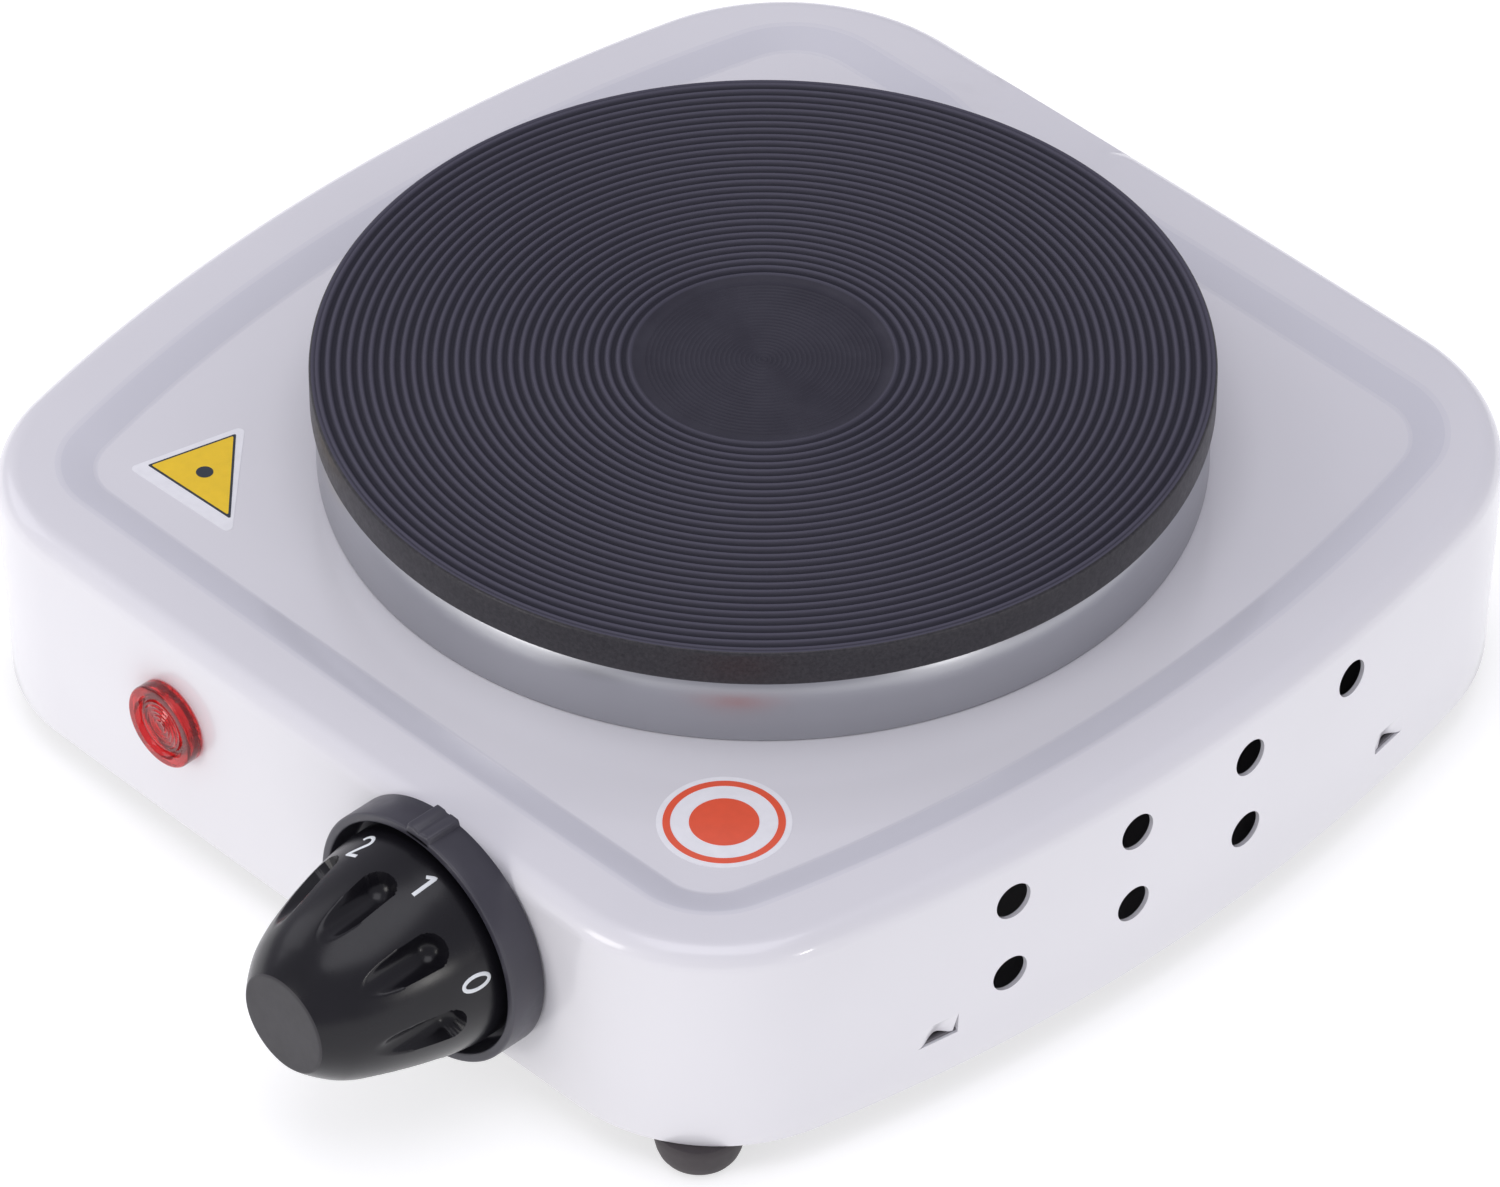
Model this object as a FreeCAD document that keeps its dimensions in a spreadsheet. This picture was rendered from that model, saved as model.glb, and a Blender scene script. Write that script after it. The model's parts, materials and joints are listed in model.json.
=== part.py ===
"""Single cast-iron hot plate burner: a pressed steel housing on four rubber feet, a sealed
cast-iron plate in a stainless spill ring, and a thermostat turned by a front control knob.

Frame: millimetres, +Z up, front of the burner towards -Y, origin on the table under the middle
of the whole burner.  Each sub-part is one object whose Label is its node name.
"""
import FreeCAD, Part
import math
import os
import re
import Sketcher

SIZES = [
    # overall
    ("foot_height", 7.0, "table to the housing's bottom edge"),
    ("rim_top", 50.0, "top of the raised rim"),
    ("deck_top", 48.5, "flat deck inside the rim"),
    ("plate_top", 68.5, "cooking surface"),
    ("half_width", 106.8, "housing, middle to the widest point of a side"),
    ("half_depth", 105.5, "housing, middle to the front wall"),
    ("body_back", 17.5, "housing's middle behind the origin"),
    ("side_bow", 333.0, "plan radius of the bowed sides"),
    ("front_bow", 5000.0, "plan radius of the nearly straight front and back"),
    ("corner_front", 33.0, "plan radius of the front corners"),
    ("corner_rear", 41.0, "plan radius of the rear corners"),
    ("recess_front", 28.0, "front corners that the recess is drawn in from"),
    ("recess_rear", 31.0, "rear corners that the recess is drawn in from"),
    ("sheet_gauge", 0.8, "pressed steel thickness"),
    ("shoulder", 4.2, "rounding between wall and rim"),
    ("rim_inset", 11.4, "outline to the inner edge of the rim"),
    ("slope_width", 7.0, "slope from the rim down to the deck"),
    # hot plate
    ("plate_back", 19.1, "plate axis behind the origin"),
    ("plate_radius", 77.3, "cast-iron plate"),
    ("plate_seat", 61.5, "shoulder that sits on the spill ring"),
    ("plate_bottom", 53.5, "lowest edge of the cast iron"),
    ("skirt_radius", 74.3, "skirt inside the spill ring"),
    ("channel_outer", 68.0, "coil channel, outer wall"),
    ("channel_inner", 18.0, "coil channel, inner wall"),
    ("dish_radius", 21.5, "sunk middle of the cooking surface"),
    ("dish_depth", 0.9, "depth of the sunk middle"),
    ("ring_radius", 76.5, "spill ring, outside"),
    ("ring_gauge", 0.5, "spill ring thickness"),
    ("coil_inner", 34.0, "inner heating coil, major radius"),
    ("coil_outer", 54.0, "outer heating coil, major radius"),
    ("coil_tube", 2.2, "heating coil, tube radius"),
    ("coil_level", 58.3, "height of the coils"),
    ("opening_radius", 64.0, "round opening in the deck"),
    ("shield_radius", 62.6, "outside of the heat shield's dish"),
    ("shield_bottom", 39.4, "underside of the heat shield"),
    ("stud_radius", 3.95, "M8 stud"),
    ("stud_bottom", 23.5, "lower end of the stud"),
    ("bar_top", 37.0, "top of the bridge bar's middle"),
    ("bar_gauge", 2.0, "bridge bar thickness"),
    ("bar_width", 20.0, "bridge bar width"),
    ("bar_reach", 80.0, "half length of the bridge bar"),
    ("pin_pitch", 8.0, "spacing of the plate's terminal pins"),
    ("pin_back", 35.0, "terminal pins behind the plate axis"),
    # controls
    ("control_level", 30.4, "height of the knob axis"),
    ("knob_x", 35.4, "knob axis"),
    ("knob_reach", 36.8, "front wall to the knob's end"),
    ("knob_skirt", 19.9, "knob radius at its open end"),
    ("knob_wall", 2.0, "moulded wall of the knob"),
    ("flute_radius", 3.0, "finger flutes round the knob"),
    ("flute_axis", 17.6, "knob axis to the middle of a flute"),
    ("flute_start", 13.5, "front wall to the base end of the flutes"),
    ("bezel_radius", 23.3, "dial bezel"),
    ("bezel_depth", 7.0, "dial bezel, front to back"),
    ("shaft_radius", 3.0, "thermostat shaft"),
    ("stat_half", 9.5, "half height of the thermostat block and its bracket"),
    ("screw_offset", 12.5, "thermostat screws beside the shaft"),
    ("lamp_x", -33.0, "pilot lamp axis"),
    ("lamp_level", 31.0, "height of the pilot lamp axis"),
    ("lamp_radius", 7.75, "pilot lamp lens"),
    ("lamp_proud", 3.0, "lens in front of the wall"),
    # underside
    ("base_level", 7.0, "underside of the base plate"),
    ("base_gap", 0.5, "gap between wall and base plate flange"),
    ("base_flange", 15.5, "top of the base plate flange"),
    ("foot_front_x", 81.5, "front feet beside the middle"),
    ("foot_left_y", 89.0, "front left foot before the housing's middle"),
    ("foot_right_y", 92.5, "front right foot before the housing's middle"),
    ("foot_rear_x", 78.0, "rear feet beside the middle"),
    ("foot_rear_y", 89.0, "rear feet behind the housing's middle"),
    ("foot_radius", 7.8, "rubber feet"),
    ("bracket_front_x", 62.0, "front base brackets beside the middle"),
    ("bracket_rear_x", 46.0, "rear base brackets beside the middle"),
    ("bracket_y", 96.5, "base screws before and behind the housing's middle"),
    # vents, lances and rear
    ("vent_radius", 3.5, "side ventilation holes"),
    ("vent_pitch", 26.8, "spacing of the ventilation holes"),
    ("vent_first", -42.4, "foremost hole, from the housing's middle"),
    ("vent_upper", 39.0, "height of the upper row"),
    ("vent_lower", 22.7, "height of the lower row"),
    ("lance_front", 56.7, "retaining lances before the housing's middle"),
    ("lance_rear", 51.1, "retaining lances behind the housing's middle"),
    ("lance_level", 17.2, "lower edge of the lances"),
    ("lance_width", 8.0, "width of a lance"),
    ("notch_x", -29.0, "middle of the gap in the rear rim"),
    ("notch_width", 22.0, "flat bottom of that gap"),
    ("notch_ramp", 7.0, "length of each ramp beside it"),
    ("inlet_x", -29.0, "cord inlet"),
    ("inlet_level", 24.0, "height of the cord inlet"),
    ("inlet_radius", 4.0, "bore of the cord grommet"),
    ("grommet_lip", 1.5, "grommet lip behind the rear wall"),
    # labels
    ("label_gauge", 0.2, "thickness of the stuck labels"),
    ("triangle_x", -61.0, "triangular label"),
    ("triangle_y", -72.0, "triangular label, from the housing's middle"),
    ("triangle_radius", 14.0, "triangular label, middle to a corner"),
    ("disc_x", 64.6, "round label"),
    ("disc_y", -70.3, "round label, from the housing's middle"),
    ("disc_radius", 11.2, "round label"),
]

doc = FreeCAD.newDocument("HotPlateBurner")
sizes = doc.addObject("Spreadsheet::Sheet", "Sizes")
for row, (alias, value, note) in enumerate(SIZES, 1):
    sizes.set("A%d" % row, note)
    sizes.set("B%d" % row, str(value))
    sizes.setAlias("B%d" % row, alias)
doc.recompute()

ALIASES = {alias for alias, _, _ in SIZES}
NODES = []


def size(alias):
    """A driving dimension as a number."""
    return float(sizes.get(alias))


def linked(text):
    """An expression in which every alias points at the spreadsheet."""
    def point(match):
        word = match.group(0)
        return "Sizes." + word if word in ALIASES else word
    return re.sub(r"[a-z_]+", point, str(text))


def place(thing, at, turn=None):
    """Bind a Placement's base to three expressions, after an optional (axis, angle) turn."""
    if turn:
        axis, angle = turn
        thing.Placement = FreeCAD.Placement(FreeCAD.Vector(), FreeCAD.Rotation(axis, angle))
    for name, text in zip("xyz", at):
        thing.setExpression("Placement.Base." + name, linked(text))
    return thing


X_AXIS = FreeCAD.Vector(1, 0, 0)
Y_AXIS = FreeCAD.Vector(0, 1, 0)
Z_AXIS = FreeCAD.Vector(0, 0, 1)
FACING_FRONT = (X_AXIS, 90)
FACING_BACK = (X_AXIS, -90)
FACING_RIGHT = (Y_AXIS, 90)
PLATE_AXIS = ("0", "plate_back", "0")


def primitive(kind, name, at=("0", "0", "0"), turn=None, **dims):
    """A Part primitive whose properties are bound to expressions."""
    thing = doc.addObject("Part::" + kind, name)
    for prop, text in dims.items():
        thing.setExpression(prop, linked(text))
    return place(thing, at, turn)


def box(name, size_x, size_y, size_z, at):
    """A box given by its sizes and the middle of its bottom face."""
    middle_x, middle_y, bottom = at
    corner = ("%s - (%s) / 2" % (middle_x, size_x), "%s - (%s) / 2" % (middle_y, size_y), bottom)
    return primitive("Box", name, corner, Length=size_x, Width=size_y, Height=size_z)


def cylinder(name, radius, height, at, turn=None):
    return primitive("Cylinder", name, at, turn, Radius=radius, Height=height)


def fuse(name, pieces):
    joined = doc.addObject("Part::MultiFuse", name)
    joined.Shapes = pieces
    return joined


def group(name, pieces):
    """Separate solids kept together as one sub-part."""
    kept = doc.addObject("Part::Compound", name)
    kept.Links = pieces
    return kept


def cut(name, base, tools):
    tool = tools[0] if len(tools) == 1 else fuse(name + "_tools", tools)
    result = doc.addObject("Part::Cut", name)
    result.Base = base
    result.Tool = tool
    return result


def common(name, base, tool):
    result = doc.addObject("Part::Common", name)
    result.Base = base
    result.Tool = tool
    return result


def node(thing, label):
    """Make an object a sub-part: its Label names the file."""
    thing.Label = label
    NODES.append(thing)
    return thing


def edge_numbers(shape, wanted):
    return [number for number, edge in enumerate(shape.Edges, 1) if wanted(edge)]


def treated(kind, name, base, wanted, first, second=None):
    """Part::Fillet or Part::Chamfer of the edges that wanted() picks, sized in numbers."""
    doc.recompute()
    result = doc.addObject("Part::" + kind, name)
    result.Base = base
    pick = edge_numbers(base.Shape, wanted)
    result.Edges = [(number, first, second or first) for number in pick]
    return result


def upright(edge):
    box_ = edge.BoundBox
    return box_.XLength < 0.01 and box_.YLength < 0.01


def level_at(height):
    return lambda edge: abs(edge.BoundBox.ZMin - height) < 0.01 and edge.BoundBox.ZLength < 0.01


def turned(name, profile, at, turn=None):
    """A PartDesign revolution of a closed profile of (radius, height) expressions about Z."""
    body = doc.addObject("PartDesign::Body", name)
    sketch = body.newObject("Sketcher::SketchObject", name + "_profile")
    plane = [item for item in body.Origin.OriginFeatures if item.Role == "XZ_Plane"][0]
    sketch.AttachmentSupport = [(plane, "")]
    sketch.MapMode = "FlatFace"
    count = len(profile)
    start = [FreeCAD.Vector(40 + 20 * math.cos(2 * math.pi * i / count),
                            30 + 20 * math.sin(2 * math.pi * i / count), 0) for i in range(count)]
    for i in range(count):
        sketch.addGeometry(Part.LineSegment(start[i], start[(i + 1) % count]), False)
    for i in range(count):
        sketch.addConstraint(Sketcher.Constraint("Coincident", i, 2, (i + 1) % count, 1))
    for i, (radius, height) in enumerate(profile):
        for kind, value, text in (("DistanceX", start[i].x, radius), ("DistanceY", start[i].y, height)):
            number = sketch.addConstraint(Sketcher.Constraint(kind, i, 1, value))
            sketch.setExpression("Constraints[%d]" % number, linked(text))
    revolution = body.newObject("PartDesign::Revolution", name + "_turn")
    revolution.Profile = sketch
    revolution.ReferenceAxis = (sketch, ["V_Axis"])
    revolution.Angle = 360
    return place(body, at, turn)


# ---------------------------------------------------------------- housing

def envelope(name, inset, bottom, top, front_corner="corner_front", rear_corner="corner_rear"):
    """The housing's rounded plan, drawn in by inset, between two heights."""
    height = "(%s) - (%s)" % (top, bottom)
    sides = []
    for sign, seam in (("", 0), ("-", 180)):
        sides.append(cylinder(name + "_side", "side_bow - (%s)" % inset, height,
                              ("%s(side_bow - half_width)" % sign, "body_back", bottom), (Z_AXIS, seam)))
        sides.append(cylinder(name + "_end", "front_bow - (%s)" % inset, height,
                              ("0", "body_back + %s(front_bow - half_depth)" % sign, bottom)))
    plan = doc.addObject("Part::MultiCommon", name + "_plan")
    plan.Shapes = sides
    doc.recompute()
    rounded = doc.addObject("Part::Fillet", name)
    rounded.Base = plan
    middle = size("body_back")
    depth = INSETS[inset]
    radii = []
    for number in edge_numbers(plan.Shape, upright):
        front = plan.Shape.Edges[number - 1].BoundBox.YMin < middle
        radius = size(front_corner if front else rear_corner) - depth
        radii.append((number, radius, radius))
    rounded.Edges = radii
    return rounded


# Insets from the outline as expressions, with the numbers that the corner radii need.
INNER_WALL = "sheet_gauge"
UNDER_RIM = "rim_inset - sheet_gauge"
FLANGE_OUTER = "sheet_gauge + base_gap"
FLANGE_INNER = "sheet_gauge * 2 + base_gap"
INSETS = {
    "0": 0.0,
    INNER_WALL: size("sheet_gauge"),
    "rim_inset": size("rim_inset"),
    UNDER_RIM: size("rim_inset") - size("sheet_gauge"),
    "rim_inset + slope_width": size("rim_inset") + size("slope_width"),
    UNDER_RIM + " + slope_width": size("rim_inset") - size("sheet_gauge") + size("slope_width"),
    FLANGE_OUTER: size("sheet_gauge") + size("base_gap"),
    FLANGE_INNER: size("sheet_gauge") * 2 + size("base_gap"),
}
ABOVE_ALL = "rim_top + 5"


def recess_tool(name, inset, floor, top):
    """What is pressed down inside the rim: sloped sides, then straight up above the rim."""
    corners = ("recess_front", "recess_rear")
    mouth = envelope(name + "_mouth", inset, top, ABOVE_ALL, *corners)
    flat = envelope(name + "_flat", inset + " + slope_width", floor, ABOVE_ALL, *corners)
    doc.recompute()
    rims = []
    for block in (flat, mouth):
        lowest = min(block.Shape.Faces, key=lambda face: face.CenterOfMass.z)
        rims.append(lowest.OuterWire)
    slope = doc.addObject("Part::Feature", name + "_slope")
    slope.Shape = Part.makeLoft(rims, True, True)
    return fuse(name, [slope, mouth])


def rim_notch(name, floor):
    """A shallow gap in the rear rim, with a ramp at each end, as a cutter standing on floor."""
    notch = doc.addObject("Part::Wedge", name)
    spread = "notch_ramp * 4"
    limits = {
        "Xmin": "-(notch_width / 2 + %s)" % spread, "Xmax": "notch_width / 2 + %s" % spread,
        "X2min": "-notch_width / 2", "X2max": "notch_width / 2",
        "Ymin": "0", "Ymax": "6", "Zmin": "0", "Zmax": "30", "Z2min": "0", "Z2max": "30",
    }
    for prop, text in limits.items():
        notch.setExpression(prop, linked(text))
    return place(notch, ("notch_x", "body_back + half_depth - 24", "(%s) + 6" % floor), (X_AXIS, -90))


def side_vents():
    """Seven ventilation holes in each side: four above, three below, drilled straight across."""
    tools = []
    for level, count in (("vent_upper", 4), ("vent_lower", 3)):
        for step in range(count):
            middle = "body_back + vent_first + vent_pitch * %d" % step
            tools.append(cylinder("vent", "vent_radius", "half_width * 2 + 10",
                                  ("-half_width - 5", middle, level), FACING_RIGHT))
    return tools


def lance_pieces():
    """Slots through both sides, and the dents above them that hold the base plate's flange."""
    slots = []
    dents = []
    for offset in ("- lance_front", "+ lance_rear"):
        middle = "body_back " + offset
        slots.append(box("lance_slot", "half_width * 2 + 10", "lance_width", "2",
                         ("0", middle, "lance_level - 2")))
        for side in ("-", ""):
            dents.append(box("lance_dent", "9", "lance_width", "4",
                             ("%s(half_width - 6)" % side, middle, "lance_level")))
    return slots, dents


def housing_shell():
    outer = treated("Fillet", "housing_outer", envelope("housing_block", "0", "foot_height", "rim_top"),
                    level_at(size("rim_top")), size("shoulder"))
    inner_block = envelope("housing_void_block", INNER_WALL, "foot_height", "rim_top - sheet_gauge")
    inner = treated("Fillet", "housing_void", inner_block,
                    level_at(size("rim_top") - size("sheet_gauge")), size("shoulder") - size("sheet_gauge"))
    pressed = cut("housing_pressed", outer, [recess_tool("deck_recess", "rim_inset", "deck_top", "rim_top"),
                                             rim_notch("rim_gap", "deck_top")])
    void = cut("housing_hollow", inner, [recess_tool("deck_under", UNDER_RIM, "deck_top - sheet_gauge",
                                                     "rim_top - sheet_gauge"),
                                         rim_notch("rim_gap_under", "deck_top - sheet_gauge")])
    shell = cut("housing_bare", pressed, [void])
    slots, dents = lance_pieces()
    holes = side_vents() + slots
    holes.append(cylinder("deck_opening", "opening_radius", "20", ("0", "plate_back", "deck_top - 10")))
    holes.append(cylinder("shaft_hole", "6.5", "12", ("knob_x", "body_back - half_depth + 6", "control_level"),
                          FACING_FRONT))
    holes.append(cylinder("lamp_hole", "6.2", "12", ("lamp_x", "body_back - half_depth + 6", "lamp_level"),
                          FACING_FRONT))
    for sign in ("-", "+"):
        holes.append(cylinder("screw_hole", "2.2", "12",
                              ("knob_x %s screw_offset" % sign, "body_back - half_depth + 6", "control_level"),
                              FACING_FRONT))
    holes.append(cylinder("inlet_hole", "6.5", "12", ("inlet_x", "body_back + half_depth - 6", "inlet_level"),
                          FACING_BACK))
    holed = cut("housing_holed", shell, holes)
    inside = common("lance_dents", fuse("lance_dent_blocks", dents), outer)
    return node(fuse("housing", [holed, inside]), "housing_shell")


FEET = (("-foot_front_x", "body_back - foot_left_y"), ("foot_front_x", "body_back - foot_right_y"),
        ("-foot_rear_x", "body_back + foot_rear_y"), ("foot_rear_x", "body_back + foot_rear_y"))
SCREWS = (("-bracket_front_x", "body_back - bracket_y"), ("bracket_front_x", "body_back - bracket_y"),
          ("-bracket_rear_x", "body_back + bracket_y"), ("bracket_rear_x", "body_back + bracket_y"))


def at_places(make, places):
    """The same piece at each place: left and right at the front, then left and right at the rear."""
    return [make(x, y) for x, y in places]


def base_plate():
    tray = cut("base_tray", envelope("base_outer", FLANGE_OUTER, "base_level", "base_flange"),
               [envelope("base_inner", FLANGE_INNER, "base_level + sheet_gauge", "base_flange + 1")])
    holes = at_places(lambda x, y: cylinder("foot_screw_hole", "2.1", "4", (x, y, "base_level - 1")), FEET)
    holes += at_places(lambda x, y: cylinder("base_screw_hole", "1.9", "4", (x, y, "base_level - 1")), SCREWS)
    for bank in (-45, 45):
        for step in range(7):
            slot = box("base_slot", "34", "3.2", "4", (bank, "body_back + %s" % (12 * (step - 3)), "base_level - 1"))
            holes.append(treated("Fillet", "base_slot_round", slot, upright, 1.55))
    return node(cut("base", tray, holes), "base_plate")


def feet():
    """Four domed rubber feet, each with a stepped hole for its screw."""
    profile = [("2.1", "3"), ("4", "3"), ("4", "0"), ("5.2", "0"), ("6.6", "1.2"), ("7.5", "3.4"),
               ("foot_radius", "base_level"), ("2.1", "base_level")]
    domes = at_places(lambda x, y: turned("foot", profile, (x, y, "0")), FEET)
    for dome, place_name in zip(domes, ("front_left", "front_right", "rear_left", "rear_right")):
        node(dome, "foot_" + place_name)


def foot_fasteners():
    screw = [("0", "0.8"), ("3.5", "0.8"), ("3.5", "3"), ("2", "3"), ("2", "12"), ("0", "12")]
    screws = at_places(lambda x, y: turned("foot_screw", screw, (x, y, "0")), FEET)
    node(group("foot_screw_set", screws), "foot_screws")

    def nut(x, y):
        blank = primitive("Prism", "foot_nut_blank", (x, y, "base_level + sheet_gauge"),
                          Circumradius="4.04", Height="3.2")
        return cut("foot_nut", blank, [cylinder("foot_nut_bore", "2.02", "5", (x, y, "base_level"))])
    node(group("foot_nut_set", at_places(nut, FEET)), "foot_nuts")


def base_bracket(x, y):
    """Cranked tab: welded to the wall above the base flange, with a threaded shelf on the base."""
    outward = y.replace("bracket_y", "(half_depth - %s)")
    shelf = box("bracket_shelf", "12", "12", "1.6", (x, y, "base_level + sheet_gauge"))
    leg = box("bracket_leg", "12", "1.2", "11", (x, outward % "3.4", "base_level + sheet_gauge"))
    joggle = box("bracket_joggle", "12", "2.6", "1.2", (x, outward % "2.7", "base_flange + 1.1"))
    weld_tab = box("bracket_weld_tab", "12", "1.2", "9", (x, outward % "2.0", "base_flange + 1.1"))
    hole = cylinder("bracket_hole", "1.5", "5", (x, y, "base_level"))
    return cut("bracket", fuse("bracket_solid", [shelf, leg, joggle, weld_tab]), [hole])


def base_fasteners():
    """Brackets inside the front and rear walls, and the screws that hold the base plate to them."""
    node(group("base_bracket_set", at_places(base_bracket, SCREWS)), "base_brackets")
    screw = [("0", "base_level - 2"), ("2.6", "base_level - 1.8"), ("3.2", "base_level - 1"),
             ("3.2", "base_level"), ("1.5", "base_level"), ("1.5", "14"), ("0", "14")]
    screws = at_places(lambda x, y: turned("base_screw", screw, (x, y, "0")), SCREWS)
    node(group("base_screw_set", screws), "base_screws")


# ---------------------------------------------------------------- hot plate

def hot_plate():
    """Cast-iron plate: shallow sunk middle, outer skirt, coil channel below, central boss."""
    profile = [
        ("0", "plate_top - dish_depth"), ("dish_radius - 1", "plate_top - dish_depth"),
        ("dish_radius", "plate_top"), ("plate_radius - 1.2", "plate_top"),
        ("plate_radius", "plate_top - 1.2"), ("plate_radius", "plate_seat"),
        ("skirt_radius", "plate_seat"), ("skirt_radius", "plate_bottom"),
        ("channel_outer", "plate_bottom"), ("channel_outer", "plate_seat"),
        ("channel_inner", "plate_seat"), ("channel_inner", "plate_bottom"),
        ("stud_radius", "plate_bottom"), ("stud_radius", "plate_seat"), ("0", "plate_seat"),
    ]
    return node(turned("cast_plate", profile, PLATE_AXIS), "hot_plate")


def terminal_x(step):
    return "pin_pitch * %d" % step


def pin_holes(name, radius):
    return [cylinder(name, radius, "30", (terminal_x(step), "plate_back + pin_back", "plate_bottom - 24"))
            for step in (-1, 1)]


def heating_elements():
    """Two ring coils bedded in insulating powder that fills the channel, and the sheet that closes it."""
    coils = []
    for label, radius in (("inner_heating_coil", "coil_inner"), ("outer_heating_coil", "coil_outer")):
        coil = primitive("Torus", "coil", ("0", "plate_back", "coil_level"), Radius1=radius, Radius2="coil_tube")
        coils.append(node(coil, label))
    beds = [primitive("Torus", "coil_bed", ("0", "plate_back", "coil_level"), Radius1=radius, Radius2="coil_tube")
            for radius in ("coil_inner", "coil_outer")]
    fill = [("channel_inner + 0.2", "plate_bottom + 0.8"), ("channel_outer - 0.2", "plate_bottom + 0.8"),
            ("channel_outer - 0.2", "plate_seat"), ("channel_inner + 0.2", "plate_seat")]
    pad = cut("fill_pad", turned("fill_ring", fill, PLATE_AXIS), beds + pin_holes("fill_pin_hole", "1.6"))
    node(pad, "coil_insulation")
    sheet = [("channel_inner + 0.3", "plate_bottom"), ("channel_outer - 0.3", "plate_bottom"),
             ("channel_outer - 0.3", "plate_bottom + 0.8"), ("channel_inner + 0.3", "plate_bottom + 0.8")]
    cover = cut("cover_sheet", turned("cover_disc", sheet, PLATE_AXIS), pin_holes("cover_pin_hole", "1.9"))
    node(cover, "plate_cover")


def plate_terminals():
    block = box("terminal_blank", "26", "10", "plate_bottom - 33", ("0", "plate_back + pin_back", "33"))
    node(cut("terminal_bead", block, pin_holes("bead_pin_hole", "1.6")), "plate_terminal_block")
    pins = [cylinder("terminal_pin", "1.5", "30", (terminal_x(step), "plate_back + pin_back", "26"))
            for step in (-1, 1)]
    node(group("terminal_pin_set", pins), "plate_terminal_pins")


def spill_ring():
    """Rolled stainless ring between the deck and the plate, with a lip the plate rests on."""
    profile = [
        ("ring_radius - 3", "deck_top"), ("ring_radius", "deck_top"),
        ("ring_radius", "plate_seat - 0.8"), ("ring_radius - 0.6", "plate_seat"),
        ("ring_radius - 1.6", "plate_seat"), ("ring_radius - 1.6", "plate_seat - ring_gauge"),
        ("ring_radius - ring_gauge - 0.4", "plate_seat - 1"), ("ring_radius - ring_gauge", "plate_seat - 2"),
        ("ring_radius - ring_gauge", "deck_top + ring_gauge"), ("ring_radius - 3", "deck_top + ring_gauge"),
    ]
    return node(turned("ring", profile, PLATE_AXIS), "spill_ring")


def heat_shield():
    """Dish under the plate: its flange lies on the deck and it hangs through the opening."""
    outer = "shield_radius"
    inner = "shield_radius - 0.6"
    profile = [
        ("5", "shield_bottom"), (outer, "shield_bottom"), (outer, "deck_top"), ("72.5", "deck_top"),
        ("72.5", "deck_top + 0.6"), (inner, "deck_top + 0.6"), (inner, "shield_bottom + 0.6"),
        ("5", "shield_bottom + 0.6"),
    ]
    window = box("shield_window", "28", "12", "4", ("0", "plate_back + pin_back", "shield_bottom - 1"))
    return node(cut("shield", turned("shield_dish", profile, PLATE_AXIS), [window]), "heat_shield")


def bridge_bar():
    """Cranked bar under the deck that the plate's stud pulls against."""
    rise = "deck_top - sheet_gauge - bar_top + bar_gauge"
    middle = box("bar_middle", "136", "bar_width", "bar_gauge", ("0", "plate_back", "bar_top - bar_gauge"))
    pieces = [middle]
    for sign in ("-", ""):
        pieces.append(box("bar_riser", "bar_gauge", "bar_width", rise,
                          (sign + "67", "plate_back", "bar_top - bar_gauge")))
        pieces.append(box("bar_end", "bar_reach - 66", "bar_width", "bar_gauge",
                          ("%s(bar_reach + 66) / 2" % sign, "plate_back", "deck_top - sheet_gauge - bar_gauge")))
    hole = cylinder("bar_hole", "4.3", "20", ("0", "plate_back", "bar_top - 10"))
    return node(cut("bar", fuse("bar_solid", pieces), [hole]), "bridge_bar")


def plate_fixing():
    bottom = "bar_top - bar_gauge"
    node(cylinder("stud", "stud_radius", "plate_seat - stud_bottom", ("0", "plate_back", "stud_bottom")),
         "plate_stud")
    washer = cut("washer", cylinder("washer_disc", "9", "1.6", ("0", "plate_back", bottom + " - 1.6")),
                 [cylinder("washer_bore", "4.2", "8", ("0", "plate_back", bottom + " - 5"))])
    node(washer, "stud_washer")
    blank = primitive("Prism", "nut_blank", ("0", "plate_back", bottom + " - 8.1"),
                      Circumradius="7.5", Height="6.5")
    node(cut("nut", blank, [cylinder("nut_bore", "stud_radius + 0.02", "12", ("0", "plate_back", bottom + " - 10"))]),
         "stud_nut")


def thermal_cutout():
    """Over-temperature fuse button under the heat shield, with its two tabs."""
    at = ("-34", "plate_back - 30", "shield_bottom - 8")
    can = cylinder("cutout_can", "8", "8", at)
    tabs = [box("cutout_tab", "4", "0.8", "5", ("-34 + %d" % offset, "plate_back - 30", "shield_bottom - 13"))
            for offset in (-4, 4)]
    return node(fuse("cutout", [can] + tabs), "thermal_cutout")


# ---------------------------------------------------------------- thermostat and knob

FRONT_WALL = "body_back - half_depth"


def control_axis(depth):
    """A point on the knob axis, depth behind the front wall's outer face."""
    return ("knob_x", "%s + (%s)" % (FRONT_WALL, depth), "control_level")


def thermostat_bracket():
    plate = box("bracket_plate", "34", "1.2", "stat_half * 2", ("knob_x", FRONT_WALL + " + 1.8", "control_level - stat_half"))
    holes = [cylinder("bracket_bore", "shaft_radius + 0.05", "6", control_axis("4"), FACING_FRONT)]
    for sign in ("-", "+"):
        holes.append(cylinder("bracket_thread", "2", "6",
                              ("knob_x %s screw_offset" % sign, FRONT_WALL + " + 4", "control_level"),
                              FACING_FRONT))
    return node(cut("stat_bracket", plate, holes), "thermostat_bracket")


def thermostat_body():
    block = box("stat_block", "18", "20", "stat_half * 2", ("knob_x", FRONT_WALL + " + 12.4", "control_level - stat_half"))
    bore = cylinder("stat_bore", "shaft_radius + 0.4", "30", control_axis("26"), FACING_FRONT)
    return node(cut("stat_body", block, [bore]), "thermostat_body")


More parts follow.
